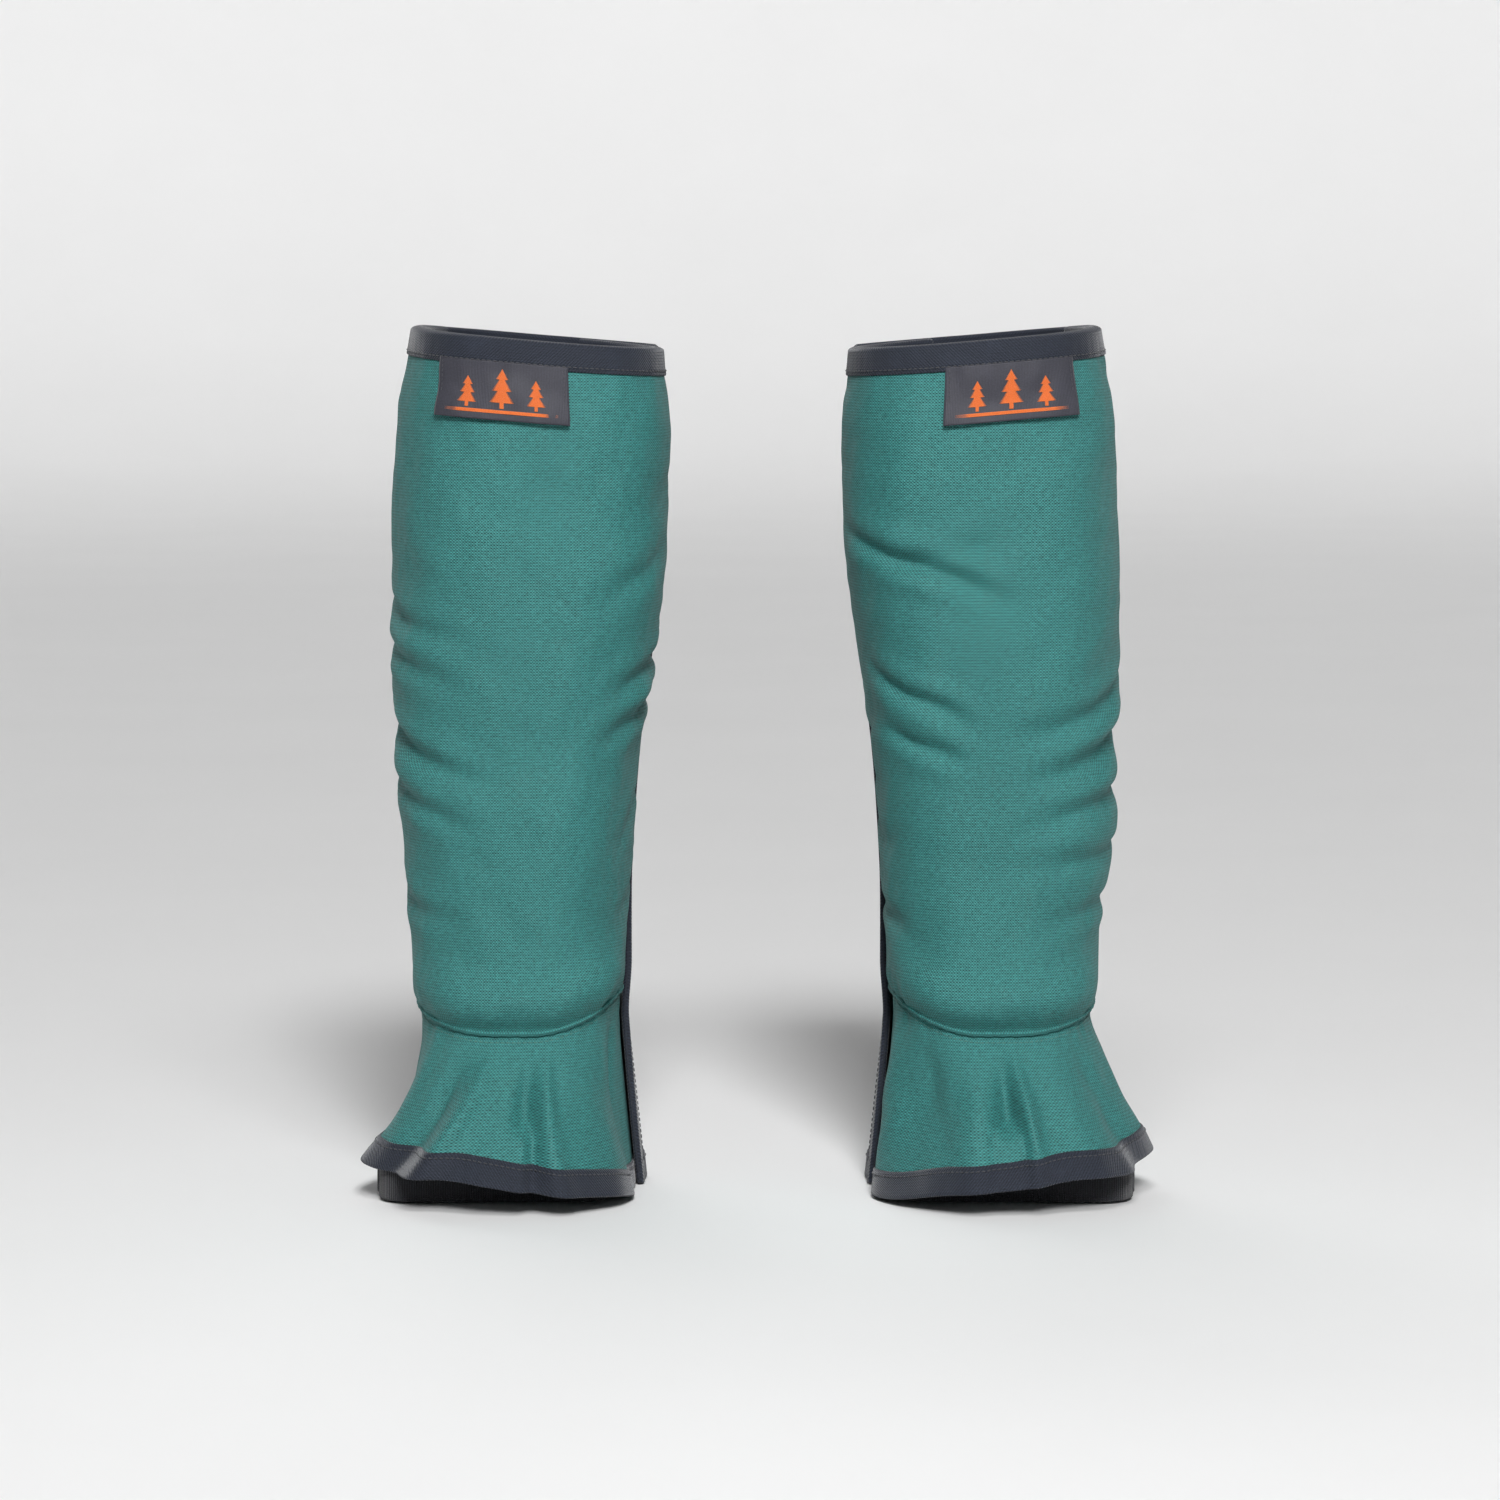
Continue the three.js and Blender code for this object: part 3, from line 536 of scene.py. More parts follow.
def folded_tape(name, leg, path, outside, inside, reach=TAPE_LEG, fold=2.0):
    """Tape folded over an edge. path has the edge's angle, height, and the way in from it."""
    angle, z, way_angle, way_z = path.T
    turns = np.radians(np.linspace(80, -80, 9))
    far = [reach, reach - 0.8, reach * 0.7, reach * 0.35, 0]
    section = [(r, 1.0, 1.0) for r in far]  # reach, side from 1 outside to -1 inside, skin 1 outer
    section += [(-fold * math.cos(t), math.sin(t), 1.0) for t in turns]
    section += [(r, -1.0, 1.0) for r in far[::-1]]
    section += [(r, -1.0, 0.0) for r in far]
    section += [(-(fold - TAPE_THICK) * math.cos(t), math.sin(t), 0.0) for t in turns[::-1]]
    section += [(r, 1.0, 0.0) for r in far[::-1]]
    s = along(on_leg(angle, z, 0 * z))
    rings, cloth = [], []
    for r, side, skin in section:
        a = angle + way_angle * r * degrees_per_mm(angle, z)
        h = z + way_z * r
        out, back = outside(a, h), inside(a, h)
        rounded = 0.45 if r == reach and skin else 0.0
        ripple = 0.14 * np.sin(s * 1.05 + side) * (r > 1) * (side > 0)
        stand = 0.25 + (TAPE_THICK - 0.15) * skin - rounded + ripple
        middle, half = (out + back) / 2, (out - back) / 2
        rings.append(on_leg(a, h, middle + (half + stand) * side))
        cloth.append(np.stack([s, np.full_like(s, r + 40 * (side < 0))], axis=-1))
    rings, cloth = np.stack(rings, axis=1), np.stack(cloth, axis=1)
    rings[..., 2] = np.maximum(rings[..., 2], 0.05)
    return swept(name, leg, rings, cloth)


def stitch_shape():
    """One stitch as a ring-built capsule: points for unit length, width and height, and its quads."""
    rings, around = 7, 6
    points, quads = [], []
    for i in range(rings):
        t = -1 + 2 * i / (rings - 1)
        thick = math.sqrt(max(0.0, 1 - abs(t) ** 3)) * 0.92 + 0.08
        for k in range(around):
            turn = 2 * math.pi * k / around
            points.append((t, thick * math.cos(turn), thick * math.sin(turn)))
    for i in range(rings - 1):
        for k in range(around):
            a, b = i * around + k, i * around + (k + 1) % around
            quads.append((a, b, b + around, a + around))
    first, last = len(points), len(points) + 1
    points += [(-1.02, 0, 0), (1.02, 0, 0)]
    end = (rings - 1) * around
    for k in range(around):
        quads.append(((k + 1) % around, k, first, first))
        quads.append((end + k, end + (k + 1) % around, last, last))
    return np.array(points, float), np.array(quads)


STITCH_POINTS, STITCH_QUADS = stitch_shape()


def stitches(name, leg, lines, pitch=3.1, length=2.35, width=0.34, height=0.3):
    """Thread along lines of surface points. Each line is a pair of arrays: points and outward ways."""
    points, faces, cloth, count = [], [], [], 0
    for line, normals in lines:
        both = respaced(np.concatenate([line, normals], axis=1), pitch)
        places, ups = (both[1:, :3] + both[:-1, :3]) / 2, both[1:, 3:]
        ways = np.diff(both[:, :3], axis=0)
        ways /= np.linalg.norm(ways, axis=1)[:, None]
        ups = ups - ways * (ups * ways).sum(axis=1)[:, None]
        ups /= np.linalg.norm(ups, axis=1)[:, None]
        across = np.cross(ups, ways)
        for place, way, up, wide in zip(places, ways, ups, across):
            tilt = way + wide * 0.06
            shape = (
                STITCH_POINTS[:, :1] * tilt * length / 2
                + STITCH_POINTS[:, 1:2] * wide * width
                + STITCH_POINTS[:, 2:] * up * height
            )
            points.append(place + shape + up * 0.1)
            faces.append(STITCH_QUADS + count)
            along_thread = STITCH_POINTS[:, 0] * length / 2 + count
            cloth.append(np.stack([along_thread, STITCH_POINTS[:, 1]], axis=-1))
            count += len(STITCH_POINTS)
    points = in_row_frame(leg, np.concatenate(points))
    return mesh_object(name, points, np.concatenate(faces), np.concatenate(cloth))


def sew(name, leg, slot, thread_colour, body, lines, **sizes):
    """Rows of stitches in one thread, carried by a body."""
    rows = stitches(f"{leg.name}_{name}", leg, lines, **sizes)
    return dress(rows, slot, body, material=THREADS[thread_colour])


def surface_line(angle, z, offset):
    """A line of points on the leg with the ways out of it, for stitches()."""
    here, above = on_leg(angle, z, offset), on_leg(angle, z, offset + 1)
    return here, above - here


# ---------------------------------------------------------------- materials


class Shader:
    """A short way to write a material's nodes."""

    def __init__(self, name, roughness, **sockets):
        self.material = bpy.data.materials.new(name)
        self.material.use_nodes = True
        self.tree = self.material.node_tree
        self.surface = self.tree.nodes["Principled BSDF"]
        self.surface.inputs["Roughness"].default_value = roughness
        for socket, value in sockets.items():
            self.surface.inputs[socket.replace("_", " ")].default_value = value
        where = self.node("ShaderNodeAttribute", attribute_name="cloth")
        self.cloth = where.outputs["Vector"]
        self.place = self.node("ShaderNodeTexCoord").outputs["Object"]

    def node(self, kind, **values):
        made = self.tree.nodes.new(kind)
        for key, value in values.items():
            setattr(made, key, value)
        return made

    def link(self, value, socket):
        if isinstance(value, bpy.types.NodeSocket):
            self.tree.links.new(value, socket)
        else:
            socket.default_value = value

    def math(self, operation, a, b=0.0, c=0.0):
        made = self.node("ShaderNodeMath", operation=operation)
        for value, socket in zip((a, b, c), made.inputs):
            self.link(value, socket)
        return made.outputs[0]

    def times(self, a, b):
        return self.math("MULTIPLY", a, b)

    def times_plus(self, a, b, c):
        return self.math("MULTIPLY_ADD", a, b, c)

    def sine(self, a):
        return self.math("SINE", a)

    def split(self, vector):
        made = self.node("ShaderNodeSeparateXYZ")
        self.link(vector, made.inputs[0])
        return made.outputs

    def scaled(self, vector, x, y, z=1.0):
        made = self.node("ShaderNodeVectorMath", operation="MULTIPLY")
        self.link(vector, made.inputs[0])
        made.inputs[1].default_value = (x, y, z)
        return made.outputs[0]

    def noise(self, vector, scale, detail=2.0, rough=0.5):
        made = self.node("ShaderNodeTexNoise")
        self.link(vector, made.inputs["Vector"])
        made.inputs["Scale"].default_value = scale
        made.inputs["Detail"].default_value = detail
        made.inputs["Roughness"].default_value = rough
        return made.outputs["Fac"]

    def mix(self, factor, a, b):
        made = self.node("ShaderNodeMix", data_type="RGBA")
        self.link(factor, made.inputs[0])
        for value, socket in ((a, made.inputs[6]), (b, made.inputs[7])):
            self.link(value if isinstance(value, bpy.types.NodeSocket) else (*value, 1.0), socket)
        return made.outputs[2]

    def ranged(self, value, low, high):
        made = self.node("ShaderNodeMapRange")
        self.link(value, made.inputs[0])
        made.inputs[1].default_value, made.inputs[2].default_value = low, high
        return made.outputs[0]

    def bump(self, height, strength, distance, below=None):
        made = self.node("ShaderNodeBump")
        made.inputs["Strength"].default_value = strength
        made.inputs["Distance"].default_value = distance
        self.link(height, made.inputs["Height"])
        if below is not None:
            self.link(below, made.inputs["Normal"])
        return made.outputs[0]

    def finish(self, colour=None, normal=None, roughness=None):
        for value, socket in ((colour, "Base Color"), (normal, "Normal"), (roughness, "Roughness")):
            if value is not None:
                self.link(value, self.surface.inputs[socket])
        return self.material


def shade(colour, factor):
    return tuple(min(1.0, c * factor) for c in colour)


def woven(name, colour, pitch, contrast, depth, roughness=0.72, sheen=0.25, dust=0.25):
    """Plain-weave cloth: threads over and under, uneven yarn, soft blotches and a little dust."""
    sh = Shader(name, roughness, Sheen_Weight=sheen, Sheen_Roughness=0.45)
    x, y, _ = sh.split(sh.cloth)
    turn = 2000 * math.pi / pitch
    uneven = sh.times(sh.noise(sh.scaled(sh.cloth, 1, 1), 900, 2), 0.9)
    weft = sh.sine(sh.times_plus(y, turn, uneven))
    warp = sh.sine(sh.times_plus(x, turn, uneven))
    over = sh.times(weft, warp)
    ribs = sh.times_plus(weft, 0.35, over)
    yarn = sh.noise(sh.scaled(sh.cloth, 0.35, 1), 1300 / pitch, 2, 0.6)
    warp_yarn = sh.noise(sh.scaled(sh.cloth, 1, 0.35), 1300 / pitch, 2, 0.6)
    weft_grain = sh.times(sh.math("SUBTRACT", yarn, 0.5), 2.6)
    warp_grain = sh.times(sh.math("SUBTRACT", warp_yarn, 0.5), 1.5)
    grain = sh.math("ADD", weft_grain, warp_grain)
    tone = sh.times_plus(ribs, 0.36, sh.times_plus(grain, 0.24, 0.5))
    threads = sh.mix(tone, shade(colour, 1 - contrast), shade(colour, 1 + contrast))
    blotch = sh.noise(sh.place, 14, 4, 0.6)
    worn = sh.mix(sh.ranged(blotch, 0.35, 0.75), threads, sh.mix(0.16, threads, shade(colour, 1.35)))
    dusty = sh.ranged(sh.noise(sh.place, 45, 5, 0.7), 0.56, 0.8)
    final = sh.mix(sh.times(dusty, dust), worn, (0.35, 0.33, 0.29))
    crumple = sh.bump(sh.noise(sh.place, 120, 3, 0.55), 0.25, 0.0006)
    normal = sh.bump(sh.times_plus(grain, 0.35, ribs), 0.75, depth / 1000, crumple)
    rough = sh.times_plus(sh.noise(sh.place, 60, 2), 0.12, roughness - 0.06)
    return sh.finish(final, normal, rough)


def twill(name, colour, pitch, contrast, depth, lean=1.0, roughness=0.78, sheen=0.3):
    """Tape with slanting ribs."""
    sh = Shader(name, roughness, Sheen_Weight=sheen, Sheen_Roughness=0.4)
    x, y, _ = sh.split(sh.cloth)
    turn = 2000 * math.pi / pitch
    slant = sh.times_plus(y, lean, x)
    ribs = sh.sine(sh.times(slant, turn))
    cross = sh.sine(sh.times(y, turn * 1.15))
    yarn = sh.math("SUBTRACT", sh.noise(sh.cloth, 1500, 2, 0.6), 0.5)
    height = sh.times_plus(cross, 0.35, ribs)
    tone = sh.times_plus(height, 0.28, sh.times_plus(yarn, 2.2, 0.5))
    base = sh.mix(tone, shade(colour, 1 - contrast), shade(colour, 1 + contrast))
    rubbed = sh.ranged(sh.noise(sh.place, 70, 4, 0.65), 0.52, 0.78)
    final = sh.mix(sh.times(rubbed, 0.25), base, shade(colour, 2.0))
    normal = sh.bump(sh.math("ADD", height, yarn), 0.7, depth / 1000)
    return sh.finish(final, normal)


def fuzzy(name, colour, scale, depth):
    """Hook or loop tape: a dense mat of small tufts."""
    sh = Shader(name, 0.9, Sheen_Weight=0.5, Sheen_Roughness=0.6)
    tufts = sh.node("ShaderNodeTexVoronoi")
    sh.link(sh.cloth, tufts.inputs["Vector"])
    tufts.inputs["Scale"].default_value = scale
    near = tufts.outputs["Distance"]
    base = sh.mix(sh.ranged(near, 0.0, 0.7), shade(colour, 1.9), shade(colour, 0.4))
    normal = sh.bump(sh.math("SUBTRACT", 1.0, near), 0.9, depth / 1000)
    return sh.finish(base, normal)


def moulded(name, colour, roughness):
    """Moulded plastic: a fine spark-eroded grain, faint flow marks and scuffs."""
    sh = Shader(name, roughness, Specular_IOR_Level=0.45)
    grain = sh.noise(sh.place, 2600, 3, 0.6)
    scuff = sh.ranged(sh.noise(sh.scaled(sh.place, 1, 1, 7), 160, 4, 0.7), 0.58, 0.72)
    base = sh.mix(sh.times(scuff, 0.35), colour, shade(colour, 3.2))
    rough = sh.times_plus(scuff, 0.2, sh.times_plus(grain, 0.15, roughness - 0.07))
    return sh.finish(base, sh.bump(grain, 0.3, 0.00012), rough)


def plated(name):
    """Zinc-plated steel: brushed along its length, a little dull in patches."""
    sh = Shader(name, 0.34, Metallic=1.0)
    brushed = sh.noise(sh.scaled(sh.place, 1, 1, 0.06), 3200, 2, 0.6)
    patch = sh.noise(sh.place, 240, 4, 0.6)
    base = sh.mix(sh.ranged(patch, 0.4, 0.75), (0.62, 0.63, 0.65), (0.44, 0.44, 0.43))
    rough = sh.times_plus(patch, 0.3, 0.2)
    return sh.finish(base, sh.bump(brushed, 0.25, 0.00008), rough)


def thread(name, colour):
    """Twisted sewing thread."""
    sh = Shader(name, 0.55, Sheen_Weight=0.3)
    x, y, _ = sh.split(sh.cloth)
    twist = sh.sine(sh.times(sh.times_plus(y, 1.2, x), 9000.0))
    tone = sh.times_plus(twist, 0.3, 0.5)
    base = sh.mix(tone, shade(colour, 0.6), shade(colour, 1.5))
    return sh.finish(base, sh.bump(twist, 0.4, 0.0001))


GREEN = (0.0395, 0.182, 0.174)
BLACK = (0.023, 0.028, 0.042)

MATERIALS = {
    "green_fabric": woven("green_cloth", GREEN, 1.6, 0.8, 0.24, 0.62, 0.06, 0.03),
    "pad_fibre": woven("pad_knit", (0.62, 0.58, 0.47), 2.2, 0.25, 0.5, 0.95, 0.3, 0.0),
    "lining_fabric": woven("lining_cloth", (0.03, 0.031, 0.035), 0.9, 0.35, 0.1, 0.75, 0.1, 0.06),
    "black_fabric": woven("black_cloth", (0.03, 0.031, 0.036), 1.2, 0.4, 0.14, 0.68, 0.2, 0.08),
    "black_tape": twill("tape_twill", BLACK, 1.8, 0.55, 0.16),
    "black_webbing": twill("webbing_ribs", (0.028, 0.029, 0.034), 1.3, 0.5, 0.25, 0.0),
    "label_cloth": twill("label_satin", (0.042, 0.042, 0.055), 0.8, 0.3, 0.05, 0.0, 0.6),
    "hook_and_loop": fuzzy("hook_loop_mat", (0.03, 0.03, 0.034), 900, 0.5),
    "buckle_plastic": moulded("buckle_acetal", (0.022, 0.023, 0.026), 0.42),
    "hook_steel": plated("hook_zinc"),
}
THREADS = {
    "black": thread("black_thread", (0.05, 0.052, 0.06)),
    "green": thread("green_thread", (0.05, 0.17, 0.15)),
    "orange": thread("orange_thread", (0.80, 0.17, 0.03)),
}


def dress(piece, slot, body, *nodes, material=None):
    """Gives a piece its material, taken from its slot unless one is given, hides the CAD nodes it
    replaces and hangs it on the body that carries it.
    """
    piece.data.materials.clear()
    piece.data.materials.append(material or MATERIALS[slot])
    if nodes:
        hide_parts(*nodes)
    if body:
        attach(piece, body)
    return piece


# ---------------------------------------------------------------- camera, light and floor

VIEW_WIDTH = 0.819  # what the picture spans at the gaiters
VIEW_CENTRE = Vector((-0.0033, -0.03, 0.2462))
CAMERA_HEIGHT = 0.54
CAMERA_DISTANCE = 3.0
SENSOR = 36.0
FLOOR_Z = -0.0006
FLOOR_RADIUS, FLOOR_SIDES = 7.0, 48
COVE_WIDTH, COVE_HEIGHT = 3.0, 5.0
FLOOR_TONES = (0.84, 0.84, 0.84), (0.87, 0.87, 0.87)
WORLD_LIGHT = 0.06
# Each sun's direction, strength and width in degrees.
SUNS = {"key": ((0.1, -1.0, 0.72), 1.9, 14), "back": ((-0.35, 1.0, 0.4), 1.35, 50)}
LAMP_PLACE, LAMP_AIM, LAMP_SIZE, LAMP_POWER = (0.1, -1.1, 1.4), (0, 0, 0.38), 0.45, 9.0


def make_camera():
    camera = place("camera", bpy.data.cameras.new("camera"))
    camera.location = (VIEW_CENTRE.x, VIEW_CENTRE.y - CAMERA_DISTANCE, CAMERA_HEIGHT)
    look = VIEW_CENTRE - camera.location
    camera.rotation_euler = look.to_track_quat("-Z", "Y").to_euler()
    camera.data.sensor_width = SENSOR
    camera.data.lens = SENSOR * look.length / VIEW_WIDTH
    bpy.context.scene.camera = camera


def lamp(name, kind, where, aim, power):
    made = place(name, bpy.data.lights.new(name, kind))
    made.data.energy = power
    made.location = where
    made.rotation_euler = (Vector(aim) - Vector(where)).to_track_quat("-Z", "Y").to_euler()
    return made.data


def make_studio():
    """A pale floor that curves up all round, a dim soft world, two broad suns and a soft lamp."""
    bend = np.radians(np.arange(10, 91, 10))
    profile = [(FLOOR_RADIUS, FLOOR_Z)]
    for t in bend:
        rise = COVE_HEIGHT * (1 - math.cos(t))
        profile.append((FLOOR_RADIUS + COVE_WIDTH * math.sin(t), FLOOR_Z + rise))
    turns = 2 * math.pi * np.arange(FLOOR_SIDES) / FLOOR_SIDES
    points = [(0.0, 0.0, FLOOR_Z)]
    for radius, height in profile:
        points += [(radius * math.cos(turn), radius * math.sin(turn), height) for turn in turns]
    faces = [(0, 1 + k, 1 + (k + 1) % FLOOR_SIDES) for k in range(FLOOR_SIDES)]
    for ring in range(len(profile) - 1):
        start = 1 + ring * FLOOR_SIDES
        for k in range(FLOOR_SIDES):
            here, after = start + k, start + (k + 1) % FLOOR_SIDES
            faces.append((here, here + FLOOR_SIDES, after + FLOOR_SIDES, after))
    mesh = bpy.data.meshes.new("floor")
    mesh.from_pydata(points, [], faces)
    for polygon in mesh.polygons:
        polygon.use_smooth = True
    pale = Shader("floor_paper", 0.9)
    mesh.materials.append(pale.finish(pale.mix(pale.noise(pale.place, 3, 3), *FLOOR_TONES)))
    place("floor", mesh)
    world = bpy.data.worlds.new("studio")
    world.use_nodes = True
    world.node_tree.nodes["Background"].inputs[0].default_value = (1, 1, 1, 1)
    world.node_tree.nodes["Background"].inputs[1].default_value = WORLD_LIGHT
    bpy.context.scene.world = world
    bpy.context.scene.view_settings.view_transform = "Standard"
    bpy.context.scene.view_settings.look = "Medium High Contrast"
    for name, (way, strength, spread) in SUNS.items():
        lamp(name, "SUN", way, (0, 0, 0), strength).angle = math.radians(spread)
    near = lamp("near", "AREA", LAMP_PLACE, LAMP_AIM, LAMP_POWER)
    near.shape, near.size = "DISK", LAMP_SIZE


make_camera()
make_studio()


# ---------------------------------------------------------------- the gaiter's front


def seam_side(z):
    return np.full_like(z, SEAM_ANGLE + 1.0)


def panel_bottom(angle):
    return seam_z(angle) + 0.6


def panel_top(angle):
    return rim_z(angle) - TAPE_THICK - GAP


def front_pieces(leg):
    side, body = leg.name, f"{leg.name}_front"

    angle, z = leg_grid(seam_side, front_edge, panel_bottom, panel_top, *PANEL_GRID)
    out = leg.panel(angle, z)
    shell = leg_sheet(f"{side}_padded_panel", leg, angle, z, out, PAD_INSIDE + leg.lining(angle, z))
    hidden = [f"{side}_{n}" for n in ("front_shell", "cut_pad_knit", "cut_pad_felt")]
    dress(shell, "green_fabric", body, *hidden)

    angle, z = leg_grid(seam_side, front_edge, panel_bottom, panel_top, *LINING_GRID)
    inner = PAD_INSIDE - GAP + leg.lining(angle, z)
    quilt = 0.35 * (np.abs(np.sin(angle * 0.16)) - 0.5)
    lining = leg_sheet(f"{side}_lining_cloth", leg, angle, z, inner, inner - LINING_THICK + quilt)
    dress(lining, "lining_fabric", body, f"{side}_lining")

    def cover_bottom(angle):
        return hem_z(angle) + leg.hem(angle) + TAPE_THICK + GAP

    def cover_top(angle):
        return seam_z(angle) + 0.2

    angle, z = leg_grid(seam_side, front_edge, cover_bottom, cover_top, *COVER_GRID)
    out = leg.cover(angle, z)
    cover = leg_sheet(f"{side}_boot_cover_cloth", leg, angle, z, out, out - COVER_THICK)
    dress(cover, "green_fabric", body, f"{side}_boot_cover")

    angles = np.linspace(SEAM_ANGLE + 1.0, front_edge(TOP_HEIGHT), 170)
    path = edge_path(angles, panel_top(angles), 0, -1)
    top = folded_tape(f"{side}_rim_tape", leg, path, leg.panel, leg.front_inside)
    dress(top, "black_tape", body, f"{side}_top_binding")

    angles = np.linspace(SEAM_ANGLE + 1.0, front_edge(0.0) - 1.5, 190)
    hem = edge_path(angles, cover_bottom(angles), 0, 1)
    corner_angle, corner_z = front_edge(0.0), cover_bottom(front_edge(0.0))
    corner = edge_path(corner_angle, corner_z + 1, -np.sin(CORNER), np.cos(CORNER))
    heights = np.linspace(corner_z + 3, panel_top(front_edge(TOP_HEIGHT)) - TAPE_LEG - 1.5, 170)
    edge = edge_path(front_edge(heights), heights, -1, 0)
    path = np.concatenate([hem, corner, edge])
    lower = folded_tape(f"{side}_front_tape", leg, path, leg.front, leg.front_inside, HEM_LEG)
    dress(lower, "black_tape", body, f"{side}_front_binding")

    # The welt: the panel's turned edge, rolled over the cover along the ankle seam.
    angles = np.linspace(SEAM_ANGLE + 2.0, flap_edge(SEAM_HEIGHT) - 5, 210)
    turns = np.linspace(0, 2 * math.pi, 12, endpoint=False)
    swell = 1.35 + 0.12 * np.sin(angles * 0.9) + 0.1 * np.sin(angles * 2.3)
    rings, cloth = [], []
    for turn in turns:
        height = seam_z(angles) + 0.4 + swell * math.sin(turn) * 1.15
        rings.append(on_leg(angles, height, 0.1 + swell * (0.55 + math.cos(turn))))
        cloth.append(np.stack([angles * MM_PER_DEGREE, 0 * angles + turn * 1.3], axis=-1))
    welt = swept(f"{side}_ankle_welt", leg, np.stack(rings, axis=1), np.stack(cloth, axis=1))
    dress(welt, "green_fabric", body, f"{side}_ankle_piping")

    def tape_line(angle, z):
        return surface_line(angle, z, leg.front(angle, z) + TAPE_THICK + THREAD_LIFT)

    angles = np.linspace(SEAM_ANGLE + 3, flap_edge(TOP_HEIGHT) + 8, 300)
    rim_row = tape_line(angles, panel_top(angles) - TAPE_LEG + STITCH_INSET)
    angles = np.linspace(SEAM_ANGLE + 3, front_edge(0.0) - 4, 300)
    hem_row = tape_line(angles, cover_bottom(angles) + HEM_LEG - STITCH_INSET)
    sew("tape_stitches", leg, "black_tape", "black", body, [rim_row, hem_row])

    angles = np.linspace(SEAM_ANGLE + 3, flap_edge(SEAM_HEIGHT) - 6, 300)
    height = seam_z(angles) - 4.4
    seam_row = surface_line(angles, height, leg.cover(angles, height) + 0.1)
    sew("seam_stitches", leg, "green_fabric", "green", body, [seam_row], pitch=3.0)


# ---------------------------------------------------------------- label


LABEL_WIDTH, LABEL_HEIGHT, LABEL_THICK = 69.0, 31.5, 0.8
LABEL_ANGLE = {"left": 83.0, "right": 83.5}
LABEL_TILT = {"left": 0.085, "right": 0.085}


def label_point(leg, x, y, lift):
    """A point on the label: x to the lateral side and y up, from its middle."""
    x, y, lift = np.broadcast_arrays(np.asarray(x, float), y, lift)
    middle = panel_top(90.0) - TAPE_LEG - LABEL_HEIGHT / 2 + 3.2
    height = middle + y + x * LABEL_TILT[leg.name]
    angle = LABEL_ANGLE[leg.name] - x * 0.845
    free = smooth(-y, -4, LABEL_HEIGHT / 2)
    curl = 1.5 * free**2 + 0.5 * free * np.abs(x / LABEL_WIDTH * 2) ** 3
    wave = 0.25 * np.sin(x * 0.16 + y * 0.05) * free
    return on_leg(angle, height, leg.panel(angle, height) + 0.55 + curl + wave + lift)


def fir(x, y, size):
    """A fir tree's outline: three tiers and a trunk, as corner points about (x, y)."""
    shape = [(0, 1.0), (0.34, 0.45), (0.16, 0.45), (0.5, -0.1), (0.22, -0.1), (0.62, -0.7)]
    shape += [(0.12, -0.7), (0.12, -1.0)]
    left = [(-a, b) for a, b in reversed(shape[1:])]
    return [(x + a * size, y + b * size) for a, b in shape + left]


def satin_bars(outline_points, spacing=0.62):
    """Rows of level thread that fill an outline: (x0, x1, y) for each."""
    points = np.array(outline_points)
    after = np.roll(points, -1, axis=0)
    bars = []
    for y in np.arange(points[:, 1].min() + spacing / 2, points[:, 1].max(), spacing):
        hits = []
        for (x0, y0), (x1, y1) in zip(points, after):
            if (y0 - y) * (y1 - y) < 0:
                hits.append(x0 + (x1 - x0) * (y - y0) / (y1 - y0))
        hits.sort()
        bars += [(a, b, y) for a, b in zip(hits[::2], hits[1::2]) if b - a > 0.5]
    return bars


